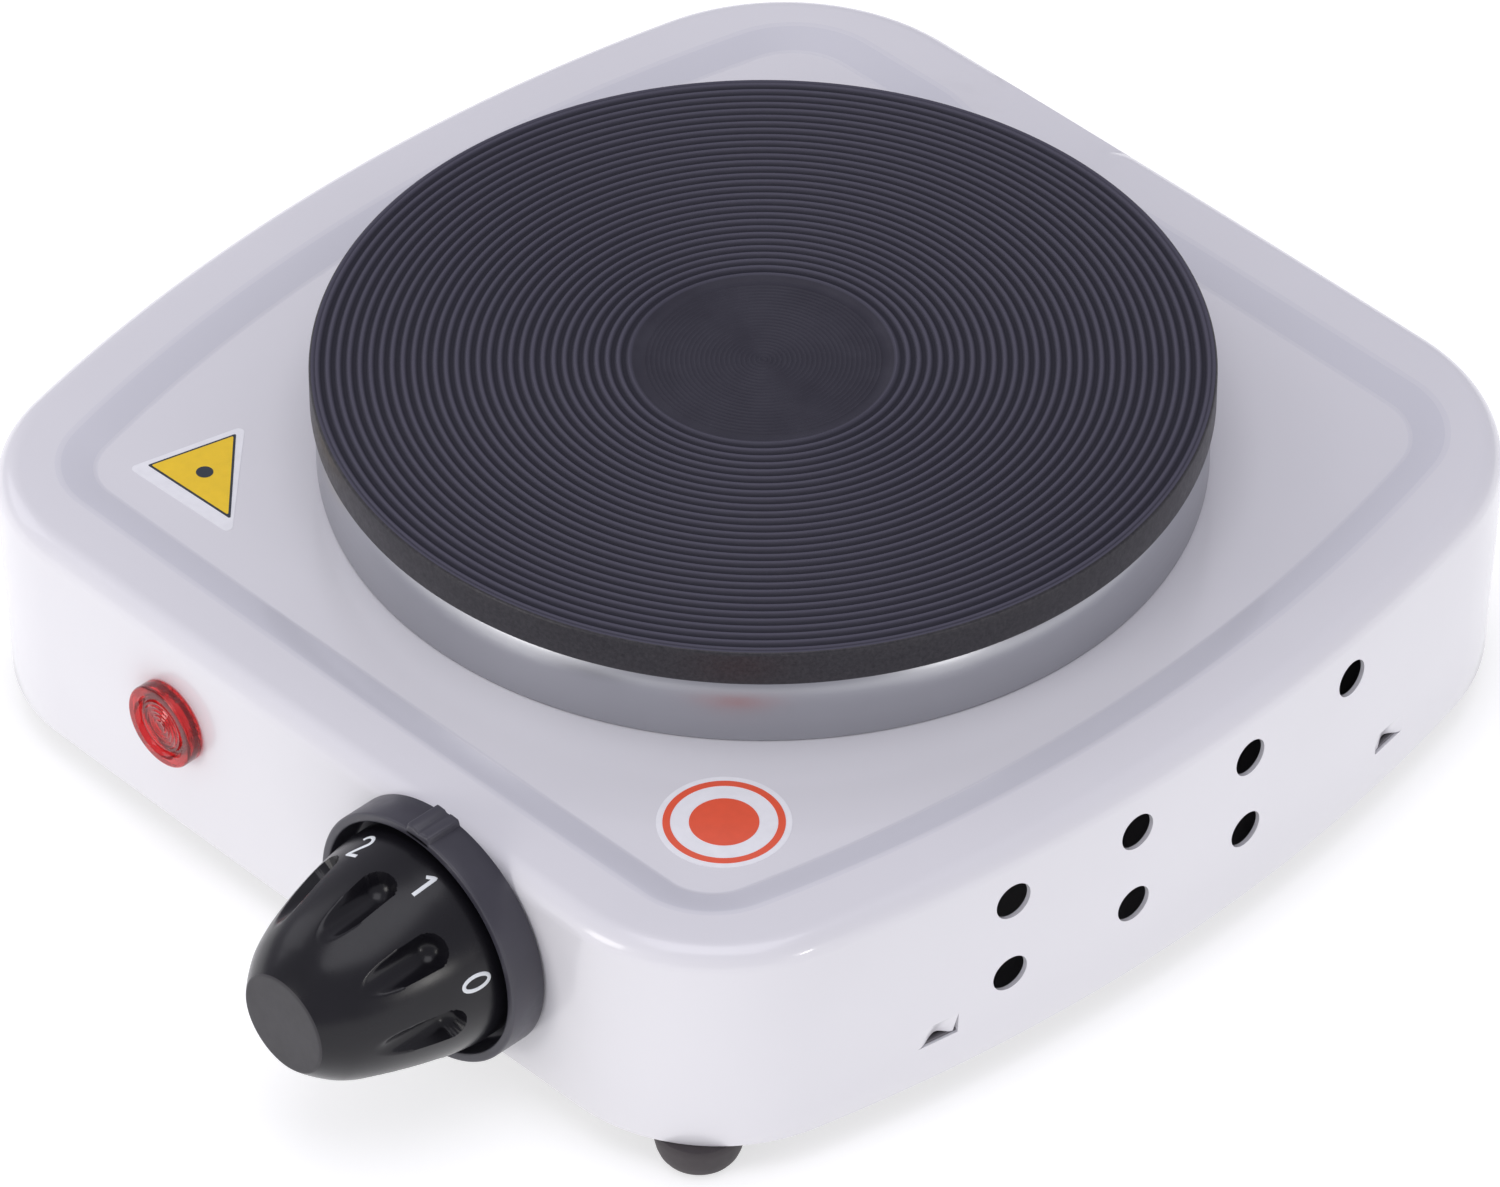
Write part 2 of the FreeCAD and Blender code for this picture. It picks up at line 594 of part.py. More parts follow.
def thermostat_screws():
    """Two pan-head screws through bezel and wall into the bracket."""
    profile = [("0", "-4"), ("2", "-4"), ("2", "1.5"), ("3.5", "1.5"), ("3.5", "3"), ("2.6", "3.7"), ("0", "3.7")]
    screws = [turned("stat_screw", profile,
                     ("knob_x %s screw_offset" % sign, FRONT_WALL, "control_level"), FACING_FRONT)
              for sign in ("-", "+")]
    return node(group("stat_screw_set", screws), "thermostat_screws")


def thermostat_contacts():
    """Bimetal strip on the ceramic body, two contact blades above it, and the beads between them."""
    top = "control_level + stat_half"
    along = FRONT_WALL + " + 14.4"
    node(box("bimetal", "6", "24", "0.6", ("knob_x", along, top)), "bimetal_strip")
    blades = [box("blade", "5", "24", "0.4", ("knob_x", along, "%s + %s" % (top, rise))) for rise in (2.6, 5)]
    node(group("blade_set", blades), "contact_blades")
    beads = [box("bead", "6", "6", "%s" % thick, ("knob_x", FRONT_WALL + " + 6", "%s + %s" % (top, rise)))
             for thick, rise in ((2.0, 0.6), (2.0, 3.0), (1.4, 5.4))]
    node(group("bead_set", beads), "blade_insulators")


def thermostat_shaft():
    """Round shaft with a flat at its front end for the knob's spring."""
    rod = cylinder("shaft_rod", "shaft_radius", "58", control_axis("27"), FACING_FRONT)
    flat = box("shaft_flat", "8", "18", "4", ("knob_x", FRONT_WALL + " - 23", "control_level + 2.2"))
    return node(cut("shaft", rod, [flat]), "thermostat_shaft")


def control_cam():
    round_part = cylinder("cam_round", "6", "4", control_axis("27"), FACING_FRONT)
    nose = cylinder("cam_nose", "5", "4", ("knob_x + 3", FRONT_WALL + " + 27", "control_level"), FACING_FRONT)
    bore = cylinder("cam_bore", "shaft_radius", "8", control_axis("29"), FACING_FRONT)
    return node(cut("cam", fuse("cam_solid", [round_part, nose]), [bore]), "control_cam")


KNOB_PROFILE = [("knob_skirt", "2"), ("knob_skirt", "8"), ("knob_skirt - 1", "15"), ("knob_skirt - 2.6", "22"),
                ("knob_skirt - 5.2", "30"), ("knob_skirt - 7.6", "34.5"), ("knob_skirt - 9.8", "knob_reach")]


def control_knob():
    """Hollow moulded knob with eight flutes, an inner hub and a D-shaped bore."""
    outside = [("0", "2")] + KNOB_PROFILE + [("0", "knob_reach")]
    inner = "flute_axis - flute_radius - 1.8"
    hollow = [("shaft_radius + 3.2", "0"), ("knob_skirt - knob_wall", "0"), ("knob_skirt - knob_wall", "9"),
              (inner, "flute_start - 1.5"), (inner + " - 1", "26"), ("9", "knob_reach - 5.3"),
              ("shaft_radius + 3.2", "knob_reach - 5.3")]
    solid = turned("knob_solid", outside, control_axis("0"), FACING_FRONT)
    cavity = turned("knob_cavity", hollow, control_axis("0"), FACING_FRONT)
    tools = [cavity, cylinder("knob_bore", "shaft_radius", "32", control_axis("0"), FACING_FRONT)]
    for step in range(8):
        angle = math.radians(45 * step + 41)
        at = ("knob_x + flute_axis * %.5f" % math.cos(angle), FRONT_WALL + " - flute_start",
              "control_level + flute_axis * %.5f" % math.sin(angle))
        tools.append(cylinder("knob_flute", "flute_radius", "40", at, FACING_FRONT))
    return node(cut("knob", solid, tools), "control_knob")


def knob_spring():
    """Leaf spring on the shaft's flat that grips the knob's bore."""
    leaf = box("spring_leaf", "2.4", "14", "0.4", ("knob_x", FRONT_WALL + " - 23", "control_level + 2.22"))
    return node(leaf, "knob_spring")


def dial_bezel():
    """Round cup around the knob's open end, with a raised index rib on top."""
    profile = [("6.5", "0"), ("bezel_radius", "0"), ("bezel_radius", "bezel_depth"),
               ("bezel_radius - 1.7", "bezel_depth"), ("bezel_radius - 1.7", "1.5"), ("6.5", "1.5")]
    cup = turned("bezel_cup", profile, control_axis("0"), FACING_FRONT)
    rib = box("index_rib", "6", "bezel_depth", "2.2",
              ("knob_x", FRONT_WALL + " - bezel_depth / 2", "control_level + bezel_radius - 1.2"))
    holes = [cylinder("bezel_screw_hole", "2.2", "6",
                      ("knob_x %s screw_offset" % sign, FRONT_WALL + " + 1", "control_level"), FACING_FRONT)
             for sign in ("-", "+")]
    return node(cut("bezel", fuse("bezel_solid", [cup, rib]), holes), "dial_bezel")


# ---------------------------------------------------------------- pilot lamp

def lamp_axis(depth):
    return ("lamp_x", "%s + (%s)" % (FRONT_WALL, depth), "lamp_level")


def pilot_lamp():
    lens = [("0", "lamp_proud"), ("4.6", "lamp_proud"), ("5.2", "lamp_proud - 0.8"),
            ("5.9", "lamp_proud - 0.8"), ("6.4", "lamp_proud"), ("lamp_radius", "lamp_proud"),
            ("lamp_radius", "0"), ("5.9", "0"), ("5.9", "-12"), ("4.6", "-12"), ("4.6", "0.6"), ("0", "0.6")]
    node(turned("lens", lens, lamp_axis("0"), FACING_FRONT), "lamp_lens")
    tube = [("0", "-16"), ("2", "-16"), ("3", "-15"), ("3", "-2"), ("1.5", "0"), ("0", "0.3")]
    node(turned("neon", tube, lamp_axis("0"), FACING_FRONT), "neon_tube")
    plug = [("0", "-19"), ("4.4", "-19"), ("4.4", "-11"), ("3.1", "-11"), ("3.1", "-16.2"), ("0", "-16.2")]
    node(turned("holder", plug, lamp_axis("0"), FACING_FRONT), "lamp_holder")
    clip = [("6", "-2.1"), ("9", "-2.1"), ("9", "-1.3"), ("6", "-1.3")]
    node(turned("clip", clip, lamp_axis("0"), FACING_FRONT), "lamp_clip")


# ---------------------------------------------------------------- mains side

REAR_WALL = "body_back + half_depth"


def cord_grommet():
    profile = [("inlet_radius", "-4"), ("8.5", "-4"), ("8.5", "-1.6"), ("6.3", "-1.6"), ("6.3", "0.1"),
               ("9", "0.1"), ("9", "0.8"), ("8.3", "grommet_lip"), ("inlet_radius", "grommet_lip")]
    return node(turned("grommet", profile, ("inlet_x", REAR_WALL, "inlet_level"), FACING_BACK), "cord_grommet")


def mains_block():
    """Nylon terminal block on the base plate, with its clamp screws."""
    at_y = REAR_WALL + " - 24"
    body = box("mains_body", "36", "16", "12", ("inlet_x", at_y, "base_level + sheet_gauge"))
    wells = []
    screws = []
    for step in (-1, 0, 1):
        x = "inlet_x + %d" % (step * 11)
        wells.append(cylinder("mains_well", "2.6", "6", (x, at_y, "base_level + sheet_gauge + 8")))
        wells.append(cylinder("mains_bore", "1.6", "20", (x, at_y + " - 10", "base_level + sheet_gauge + 4"),
                              FACING_BACK))
        screws.append(cylinder("mains_screw", "2.3", "3.2", (x, at_y, "base_level + sheet_gauge + 8")))
    node(cut("mains", body, wells), "mains_terminal_block")
    node(group("mains_screw_set", screws), "mains_terminal_screws")


def earth_point():
    """Earth tag and its screw on the base plate."""
    x = "30"
    y = REAR_WALL + " - 30"
    tag = box("tag_strip", "8", "18", "0.8", (x, y, "base_level + sheet_gauge"))
    node(cut("tag", tag, [cylinder("tag_hole", "2.1", "4", (x, y + " + 4", "base_level - 1"))]), "earth_tag")
    profile = [("0", "base_level + 1.6"), ("3.5", "base_level + 1.6"), ("3.5", "base_level + 3.2"),
               ("2.4", "base_level + 4.2"), ("0", "base_level + 4.2")]
    node(turned("tag_screw", profile, (x, y + " + 4", "0")), "earth_screw")


def bent_wire(points, radius):
    """An insulated wire: straight runs joined by tangent arcs."""
    spots = [FreeCAD.Vector(*point) for point in points]
    edges = []
    start = spots[0]
    for before, corner, after in zip(spots, spots[1:], spots[2:]):
        back = (before - corner)
        ahead = (after - corner)
        reach = 0.45 * min(back.Length, ahead.Length)
        back.normalize()
        ahead.normalize()
        first = corner + back * reach
        last = corner + ahead * reach
        half = back.getAngle(ahead) / 2
        bend = reach * math.tan(half)
        middle = (back + ahead).normalize()
        centre = corner + middle * (bend / math.sin(half))
        edges.append(Part.LineSegment(start, first).toShape())
        edges.append(Part.Arc(first, centre - middle * bend, last).toShape())
        start = last
    edges.append(Part.LineSegment(start, spots[-1]).toShape())
    path = Part.Wire(edges)
    direction = spots[1] - spots[0]
    section = Part.Wire(Part.Circle(spots[0], direction, radius).toShape())
    return path.makePipeShell([section], True, False)


def wire_node(label, routes, radius=1.1):
    thing = doc.addObject("Part::Feature", label + "_run")
    shapes = [bent_wire(route, radius) for route in routes]
    thing.Shape = shapes[0] if len(shapes) == 1 else Part.makeCompound(shapes)
    return node(thing, label)


def wiring():
    """Internal leads, laid over the base plate from the terminal block to what they feed."""
    rear = size("body_back") + size("half_depth")
    front = size("body_back") - size("half_depth")
    pin_y = size("plate_back") + size("pin_back")
    cutout_y = size("plate_back") - 30
    knob_x = size("knob_x")
    lamp_x = size("lamp_x")
    lamp_level = size("lamp_level")
    inlet_x = size("inlet_x")
    lower_blade = size("control_level") + size("stat_half") + 2.8
    upper_blade = size("control_level") + size("stat_half") + 5.2
    blade_end = front + 26.6
    pitch = size("pin_pitch")
    low = size("base_level") + 6
    block_face = rear - 32.2
    port = size("base_level") + size("sheet_gauge") + 4
    tab_end = size("shield_bottom") - 13.1
    wire_node("live_lead", [[(inlet_x + 11, block_face, port), (inlet_x + 12, block_face - 14, low),
                             (14, 20, low), (knob_x + 3, -22, low + 6), (knob_x + 4, blade_end + 16, lower_blade - 3),
                             (knob_x, blade_end, lower_blade)]])
    wire_node("thermostat_lead", [[(knob_x, blade_end, upper_blade), (knob_x - 3, blade_end + 18, upper_blade - 2),
                                   (knob_x - 16, -30, low + 12), (2, -26, low + 4), (-23, -18, low + 2),
                                   (-30, cutout_y, low + 5), (-30, cutout_y, tab_end)]])
    wire_node("cutout_lead", [[(-38, cutout_y, tab_end), (-38, cutout_y, low + 5), (-31, 6, low + 6),
                               (-8, 30, low + 6), (pitch + 2, pin_y - 10, low + 6), (pitch, pin_y, low + 8),
                               (pitch, pin_y, 25.9)]])
    wire_node("neutral_lead", [[(inlet_x, block_face, port), (inlet_x + 1, block_face - 12, low),
                                (-pitch - 10, pin_y + 2, low + 1), (-pitch, pin_y, 18), (-pitch, pin_y, 25.9)]])
    holder_end = front + 19.2
    lamp_runs = []
    for side in (-1, 1):
        lamp_runs.append([(lamp_x + 2 * side, holder_end, lamp_level),
                          (lamp_x + 3 * side, holder_end + 14, lamp_level - 2),
                          (lamp_x - 12 + 2 * side, -10, low), (lamp_x - 14 + 3 * side, 50, low),
                          (inlet_x - 11 + 1.5 * side, block_face - 12, low + 1),
                          (inlet_x - 11 + 1.3 * side, block_face, port + 1.5)])
    wire_node("lamp_leads", lamp_runs, 0.7)
    wire_node("earth_lead", [[(inlet_x + 18.3, rear - 24, port), (inlet_x + 30, rear - 24, low),
                              (20, rear - 30, low), (30, rear - 37, port - 2)]])


# ---------------------------------------------------------------- labels

def labels():
    """Two thin stuck labels on the front of the deck: a rounded triangle and a disc."""
    prism = primitive("Prism", "triangle_blank", ("triangle_x", "body_back + triangle_y", "deck_top"),
                      (Z_AXIS, 98), Circumradius="triangle_radius", Height="label_gauge")
    prism.Polygon = 3
    node(treated("Fillet", "triangle_round", prism, upright, 1.2), "triangle_label")
    node(cylinder("disc", "disc_radius", "label_gauge", ("disc_x", "body_back + disc_y", "deck_top")), "round_label")


BUILDERS = [housing_shell, base_plate, feet, foot_fasteners, base_fasteners, hot_plate, heating_elements,
            plate_terminals, spill_ring, heat_shield, bridge_bar, plate_fixing, thermal_cutout,
            thermostat_bracket, thermostat_body, thermostat_screws, thermostat_contacts, thermostat_shaft,
            control_cam, control_knob, knob_spring, dial_bezel, pilot_lamp, cord_grommet, mains_block,
            earth_point, wiring, labels]


def check():
    """Stop before anything is written if an object failed or a sub-part is not a sound solid."""
    failed = [thing.Label for thing in doc.Objects if set(thing.State) & {"Invalid", "Error"}]
    unsound = [thing.Label for thing in NODES if thing.Shape.isNull() or not thing.Shape.isValid()
               or not thing.Shape.Solids]
    if failed or unsound:
        raise SystemExit("failed: %s; not sound: %s" % (failed, unsound))


def main():
    for build in BUILDERS:
        build()
    doc.recompute()
    check()
    os.makedirs("parts", exist_ok=True)
    for thing in NODES:
        thing.Shape.exportStep("parts/%s.step" % thing.Label)
        bounds = thing.Shape.BoundBox
        print("%-24s solids %2d volume %10.1f  z %6.2f..%6.2f" % (
            thing.Label, len(thing.Shape.Solids), thing.Shape.Volume, bounds.ZMin, bounds.ZMax))
    whole = Part.makeCompound([thing.Shape for thing in NODES]).BoundBox
    print("whole x %.2f..%.2f y %.2f..%.2f z %.2f..%.2f" % (
        whole.XMin, whole.XMax, whole.YMin, whole.YMax, whole.ZMin, whole.ZMax))


main()
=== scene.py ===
"""Looks of the hot plate burner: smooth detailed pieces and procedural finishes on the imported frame."""
import bmesh
import bpy
import json
import math
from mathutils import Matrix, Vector


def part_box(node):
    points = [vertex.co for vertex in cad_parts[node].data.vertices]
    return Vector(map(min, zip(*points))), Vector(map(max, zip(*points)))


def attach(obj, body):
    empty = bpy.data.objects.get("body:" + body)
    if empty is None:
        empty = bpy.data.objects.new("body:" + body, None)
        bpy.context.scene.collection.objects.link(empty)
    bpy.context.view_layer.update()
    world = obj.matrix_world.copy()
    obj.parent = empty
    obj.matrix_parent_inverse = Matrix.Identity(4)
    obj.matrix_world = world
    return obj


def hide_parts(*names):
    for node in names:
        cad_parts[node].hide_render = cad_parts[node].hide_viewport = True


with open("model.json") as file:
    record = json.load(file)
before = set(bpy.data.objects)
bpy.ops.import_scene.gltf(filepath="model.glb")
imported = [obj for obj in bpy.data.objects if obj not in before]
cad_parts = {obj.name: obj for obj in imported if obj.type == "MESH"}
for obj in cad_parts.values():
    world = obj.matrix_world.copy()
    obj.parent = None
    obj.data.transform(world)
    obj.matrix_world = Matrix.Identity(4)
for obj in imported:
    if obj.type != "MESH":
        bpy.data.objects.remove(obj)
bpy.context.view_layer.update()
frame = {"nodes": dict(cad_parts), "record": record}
MM = 0.001
TURN = 2 * math.pi


# ---- places, from the frame

def middle(node):
    low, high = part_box(node)
    return (low + high) / 2


def span(node):
    low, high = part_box(node)
    return high - low


SHELL_LOW, SHELL_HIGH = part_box("housing_shell")
HALF_WIDTH = SHELL_HIGH.x
HALF_DEPTH = (SHELL_HIGH.y - SHELL_LOW.y) / 2
SHELL_MIDDLE_Y = (SHELL_HIGH.y + SHELL_LOW.y) / 2
FRONT_WALL = SHELL_LOW.y
REAR_WALL = SHELL_HIGH.y
WALL_BOTTOM = SHELL_LOW.z
RIM_TOP = SHELL_HIGH.z
DECK_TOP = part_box("round_label")[0].z
PLATE_MIDDLE = middle("hot_plate")
PLATE_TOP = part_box("hot_plate")[1].z
PLATE_RADIUS = span("hot_plate").x / 2
RING_RADIUS = span("spill_ring").x / 2
RING_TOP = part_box("spill_ring")[1].z
KNOB_AXIS = middle("control_knob")
KNOB_SKIRT = span("control_knob").x / 2
KNOB_END = FRONT_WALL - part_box("control_knob")[0].y
BEZEL_RADIUS = span("dial_bezel").x / 2
BEZEL_DEPTH = span("dial_bezel").y
LENS_AXIS = middle("lamp_lens")
LENS_RADIUS = span("lamp_lens").x / 2
RIDGE_PITCH = 1.83 * MM
RIDGE_COUNT = 29
RIDGE_DEPTH = 0.55 * MM
DISH_RADIUS = 21.7 * MM
DISH_DEPTH = 0.9 * MM
DISH_PITCH = 0.85 * MM


# ---- materials

class Finish:
    """A Principled material with short calls for the textures that feed it."""

    def __init__(self, name, color, roughness, metallic=0.0, coat=0.0, coat_roughness=0.05, ior=1.5):
        self.material = bpy.data.materials.new(name)
        self.material.use_nodes = True
        self.tree = self.material.node_tree
        self.shader = self.tree.nodes["Principled BSDF"]
        self.set("Base Color", (*color, 1.0))
        self.set("Roughness", roughness)
        self.set("Metallic", metallic)
        self.set("Coat Weight", coat)
        self.set("Coat Roughness", coat_roughness)
        self.set("IOR", ior)
        self.place = self.tree.nodes.new("ShaderNodeTexCoord").outputs["Object"]

    def set(self, socket, value):
        self.shader.inputs[socket].default_value = value

    def link(self, source, socket):
        self.tree.links.new(source, socket)

    def noise(self, per_mm, detail=3.0, stretch=(1, 1, 1), roughness=0.5):
        """Noise with about per_mm grains in a millimetre, stretched along each axis."""
        mapping = self.tree.nodes.new("ShaderNodeMapping")
        mapping.inputs["Scale"].default_value = stretch
        self.link(self.place, mapping.inputs["Vector"])
        texture = self.tree.nodes.new("ShaderNodeTexNoise")
        texture.inputs["Scale"].default_value = per_mm / MM
        texture.inputs["Detail"].default_value = detail
        texture.inputs["Roughness"].default_value = roughness
        self.link(mapping.outputs["Vector"], texture.inputs["Vector"])
        return texture.outputs["Fac"]

    def vary_color(self, value, low, high, spread=(0.3, 0.7)):
        """Base colour from low to high as the value crosses the spread."""
        node = self.tree.nodes.new("ShaderNodeValToRGB")
        for element, position, color in zip(node.color_ramp.elements, spread, (low, high)):
            element.position = position
            element.color = (*color, 1.0)
        self.link(value, node.inputs["Fac"])
        self.link(node.outputs["Color"], self.shader.inputs["Base Color"])

    def drift(self, value, color, low, high=1.0):
        """Lets the colour drift between two shares of itself."""
        self.vary_color(value, [c * low for c in color], [min(1.0, c * high) for c in color])

    def vary_roughness(self, value, low, high):
        node = self.tree.nodes.new("ShaderNodeMapRange")
        node.inputs["To Min"].default_value = low
        node.inputs["To Max"].default_value = high
        self.link(value, node.inputs["Value"])
        self.link(node.outputs["Result"], self.shader.inputs["Roughness"])

    def bump(self, value, millimetres, strength):
        node = self.tree.nodes.new("ShaderNodeBump")
        node.inputs["Distance"].default_value = millimetres * MM
        node.inputs["Strength"].default_value = strength
        self.link(value, node.inputs["Height"])
        self.link(node.outputs["Normal"], self.shader.inputs["Normal"])


def enamel(name, color):
    """Gloss powder coat: faint orange peel and a slight drift in tone."""
    finish = Finish(name, color, 0.3, coat=0.6, coat_roughness=0.1)
    finish.drift(finish.noise(0.02, 4), color, 0.985, 1.012)
    finish.vary_roughness(finish.noise(0.15, 2), 0.26, 0.34)
    finish.bump(finish.noise(0.9, 2), 0.012, 0.35)
    return finish.material


def cast_iron_painted_groove_shade():
    """Black heat-proof coat on turned ridges, with painted shade darkening the grooves and paler ridge
    tops, and a fine grain.
    """
    finish = Finish("cast_iron_groove_shade", (0.035, 0.033, 0.043), 0.55)
    finish.set("Specular IOR Level", 0.22)
    # Painted shade: the colour runs from dark at the groove bottoms to paler at the ridge tops.
    height = finish.tree.nodes.new("ShaderNodeSeparateXYZ")
    finish.link(finish.place, height.inputs["Vector"])
    level = finish.tree.nodes.new("ShaderNodeMapRange")
    level.inputs["From Min"].default_value = PLATE_TOP - RIDGE_DEPTH
    level.inputs["From Max"].default_value = PLATE_TOP
    finish.link(height.outputs["Z"], level.inputs["Value"])
    finish.vary_color(level.outputs["Result"], (0.021, 0.020, 0.031), (0.078, 0.074, 0.103), (0.15, 0.95))
    finish.vary_roughness(finish.noise(0.6, 3), 0.48, 0.62)
    finish.bump(finish.noise(6.0, 3), 0.02, 0.5)
    return finish.material


def cast_iron_dish():
    """The same coat on the finely turned middle."""
    finish = Finish("cast_iron_dish", (0.036, 0.034, 0.043), 0.62)
    finish.set("Specular IOR Level", 0.2)
    finish.vary_color(finish.noise(0.12, 5), (0.036, 0.034, 0.047), (0.047, 0.045, 0.060))
    finish.vary_roughness(finish.noise(0.6, 3), 0.55, 0.7)
    finish.bump(finish.noise(6.0, 3), 0.02, 0.5)
    return finish.material


def cast_iron_side():
    """Machined rim of the plate: bare grey-brown iron with fine speckle."""
    finish = Finish("cast_iron_rim", (0.06, 0.056, 0.054), 0.42, metallic=0.4)
    finish.vary_color(finish.noise(1.4, 6, roughness=0.7), (0.019, 0.018, 0.022), (0.050, 0.047, 0.052))
    finish.vary_roughness(finish.noise(0.8, 4), 0.34, 0.55)
    finish.bump(finish.noise(3.0, 4), 0.03, 0.5)
    return finish.material


def brushed(name, color, roughness):
    """Rolled or brushed metal whose fine lines run level round the piece."""
    finish = Finish(name, color, roughness, metallic=1.0)
    lines = finish.noise(0.35, 4, stretch=(0.02, 0.02, 12))
    finish.vary_roughness(lines, roughness * 0.8, roughness * 1.3)
    finish.bump(lines, 0.004, 0.35)
    finish.drift(finish.noise(0.02, 3), color, 0.93)
    return finish.material


def zinc():
    finish = Finish("zinc_plate", (0.56, 0.56, 0.55), 0.38, metallic=1.0)
    finish.vary_color(finish.noise(0.12, 5), (0.44, 0.45, 0.45), (0.66, 0.65, 0.62))
    finish.vary_roughness(finish.noise(0.5, 3), 0.30, 0.48)
    finish.bump(finish.noise(2.0, 3), 0.01, 0.4)
    return finish.material


def moulded(name, color, roughness, grain=2.5, depth=0.008, shine=0.5):
    """Moulded plastic or rubber with a fine grain; shine is its specular level."""
    finish = Finish(name, color, roughness)
    finish.set("Specular IOR Level", shine)
    finish.drift(finish.noise(0.08, 4), color, 0.85, 1.15)
    finish.vary_roughness(finish.noise(0.7, 3), roughness * 0.88, roughness * 1.15)
    finish.bump(finish.noise(grain, 3), depth, 0.5)
    return finish.material


def ceramic(name, color):
    """Matt pressed powder."""
    finish = Finish(name, color, 0.7)
    finish.drift(finish.noise(0.4, 5), color, 0.9)
    finish.bump(finish.noise(3.0, 4), 0.02, 0.6)
    return finish.material


def lens_red():
    """Translucent red moulding: light enters and scatters inside."""
    finish = Finish("lens_red", (0.85, 0.02, 0.025), 0.04, coat=0.2, coat_roughness=0.03, ior=1.45)
    finish.set("Transmission Weight", 0.86)
    finish.vary_color(finish.noise(0.25, 3), (0.78, 0.015, 0.02), (0.88, 0.04, 0.04))
    finish.bump(finish.noise(0.8, 2), 0.02, 0.3)
    return finish.material


def printed(name, color):
    """Ink on a laminated label."""
    finish = Finish(name, color, 0.32, coat=0.25, coat_roughness=0.15)
    finish.drift(finish.noise(0.5, 4), color, 0.94)
    finish.bump(finish.noise(1.5, 2), 0.004, 0.4)
    return finish.material


def glass():
    finish = Finish("lamp_glass", (0.95, 0.9, 0.85), 0.05, ior=1.47)
    finish.set("Transmission Weight", 0.9)
    finish.bump(finish.noise(0.3, 2), 0.01, 0.2)
    return finish.material


ENAMEL_WHITE = (0.785, 0.775, 0.80)
MATERIALS = {
    "enamel": enamel("enamel_white", ENAMEL_WHITE),
    # Painted shade: the recess's slope band gets darker enamel, with a paler painted shade at its edges.
    "enamel_painted_shade": enamel("enamel_painted_shade", (0.70, 0.697, 0.745)),
    "enamel_painted_shade_fade": enamel("enamel_painted_shade_fade", (0.745, 0.738, 0.775)),
    # Dark enamel on the base plate: a plausible finish, and also painted shade that darkens the gap and the
    # view through the vents.
    "enamel_base": enamel("enamel_base", (0.13, 0.125, 0.135)),
    "foot_rubber": moulded("rubber_black", (0.045, 0.037, 0.04), 0.6, grain=1.5, depth=0.02),
    "zinc_steel": zinc(),
    "cast_iron": cast_iron_painted_groove_shade(),
    "cast_iron_side": cast_iron_side(),
    "cast_iron_dish": cast_iron_dish(),
    "coil_wire": zinc(),
    "magnesia": ceramic("magnesia_powder", (0.82, 0.80, 0.74)),
    "steatite": ceramic("steatite_cream", (0.86, 0.84, 0.78)),
    "stainless": brushed("stainless_ring", (0.455, 0.46, 0.485), 0.33),
    "aluminised": brushed("aluminised_sheet", (0.66, 0.66, 0.67), 0.34),
    "brass": brushed("brass_plain", (0.78, 0.60, 0.30), 0.28),
    "black_plastic": moulded("black_moulding", (0.03, 0.03, 0.03), 0.5),
    "knob_plastic": moulded("knob_gloss", (0.009, 0.0085, 0.011), 0.24, grain=0.6, depth=0.006, shine=0.34),
    "knob_cap": moulded("knob_satin", (0.036, 0.034, 0.038), 0.5, grain=3.0, depth=0.012, shine=0.4),
    "bezel_plastic": moulded("bezel_satin", (0.048, 0.046, 0.06), 0.36, grain=1.2),
    "dial_paint": moulded("dial_paint", (0.82, 0.85, 0.86), 0.5),
    "red_lens": lens_red(),
    "lamp_glass": glass(),
    "grommet_plastic": moulded("grommet_black", (0.03, 0.03, 0.03), 0.48),
    "nylon": moulded("nylon_natural", (0.80, 0.78, 0.72), 0.45),
    "lead_brown": moulded("lead_brown", (0.22, 0.10, 0.05), 0.5),
    "lead_blue": moulded("lead_blue", (0.05, 0.12, 0.45), 0.5),
    "lead_white": moulded("lead_white", (0.80, 0.80, 0.78), 0.5),
    "lead_green": moulded("lead_green", (0.25, 0.50, 0.10), 0.5),
    "label_white": printed("label_white", (0.95, 0.95, 0.97)),
    "label_yellow": printed("label_yellow", (1.0, 0.66, 0.015)),
    "label_dark": printed("label_dark", (0.02, 0.03, 0.045)),
    "label_orange": printed("label_orange", (0.9, 0.12, 0.055)),
}


# ---- mesh helpers

def add_object(name, data):
    thing = bpy.data.objects.new(name, data)
    bpy.context.scene.collection.objects.link(thing)
    return thing


def cap(row, count):
    """Face across one ring of points."""
    return tuple(range(row * count, (row + 1) * count))


def make_piece(name, vertices, faces, materials, face_materials=None, body="root", smooth=True, sharp=None):
    """A mesh object; sharp is the angle in degrees above which edges stay crisp."""
    mesh = bpy.data.meshes.new(name)
    mesh.from_pydata([tuple(v) for v in vertices], [], faces)
    for key in materials:
        mesh.materials.append(MATERIALS[key])
    if face_materials:
        mesh.polygons.foreach_set("material_index", face_materials)
    mesh.validate()
    mesh.update()
    piece = add_object(name, mesh)
    tidy_mesh(piece, smooth, sharp)
    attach(piece, body)
    return piece


def tidy_mesh(piece, smooth=True, sharp=None):
    """Merges doubled points, points the faces outwards and sets the shading."""
    build = bmesh.new()
    build.from_mesh(piece.data)
    bmesh.ops.remove_doubles(build, verts=build.verts, dist=1e-7)
    bmesh.ops.recalc_face_normals(build, faces=build.faces)
    for face in build.faces:
        face.smooth = smooth
    if sharp is not None:
        for edge in build.edges:
            if len(edge.link_faces) == 2 and edge.calc_face_angle(0) > math.radians(sharp):
                edge.smooth = False
    build.to_mesh(piece.data)
    build.free()


def ring_faces(rows, columns, closed_rows=False):
    """Quads of a grid whose columns wrap round; rows wrap too if closed_rows."""
    faces = []
    for row in range(rows if closed_rows else rows - 1):
        after = (row + 1) % rows
        for column in range(columns):
            beside = (column + 1) % columns
            faces.append((row * columns + column, row * columns + beside,
                          after * columns + beside, after * columns + column))
    return faces


def millimetres(*points):
    return [(radius * MM, height * MM) for radius, height in points]


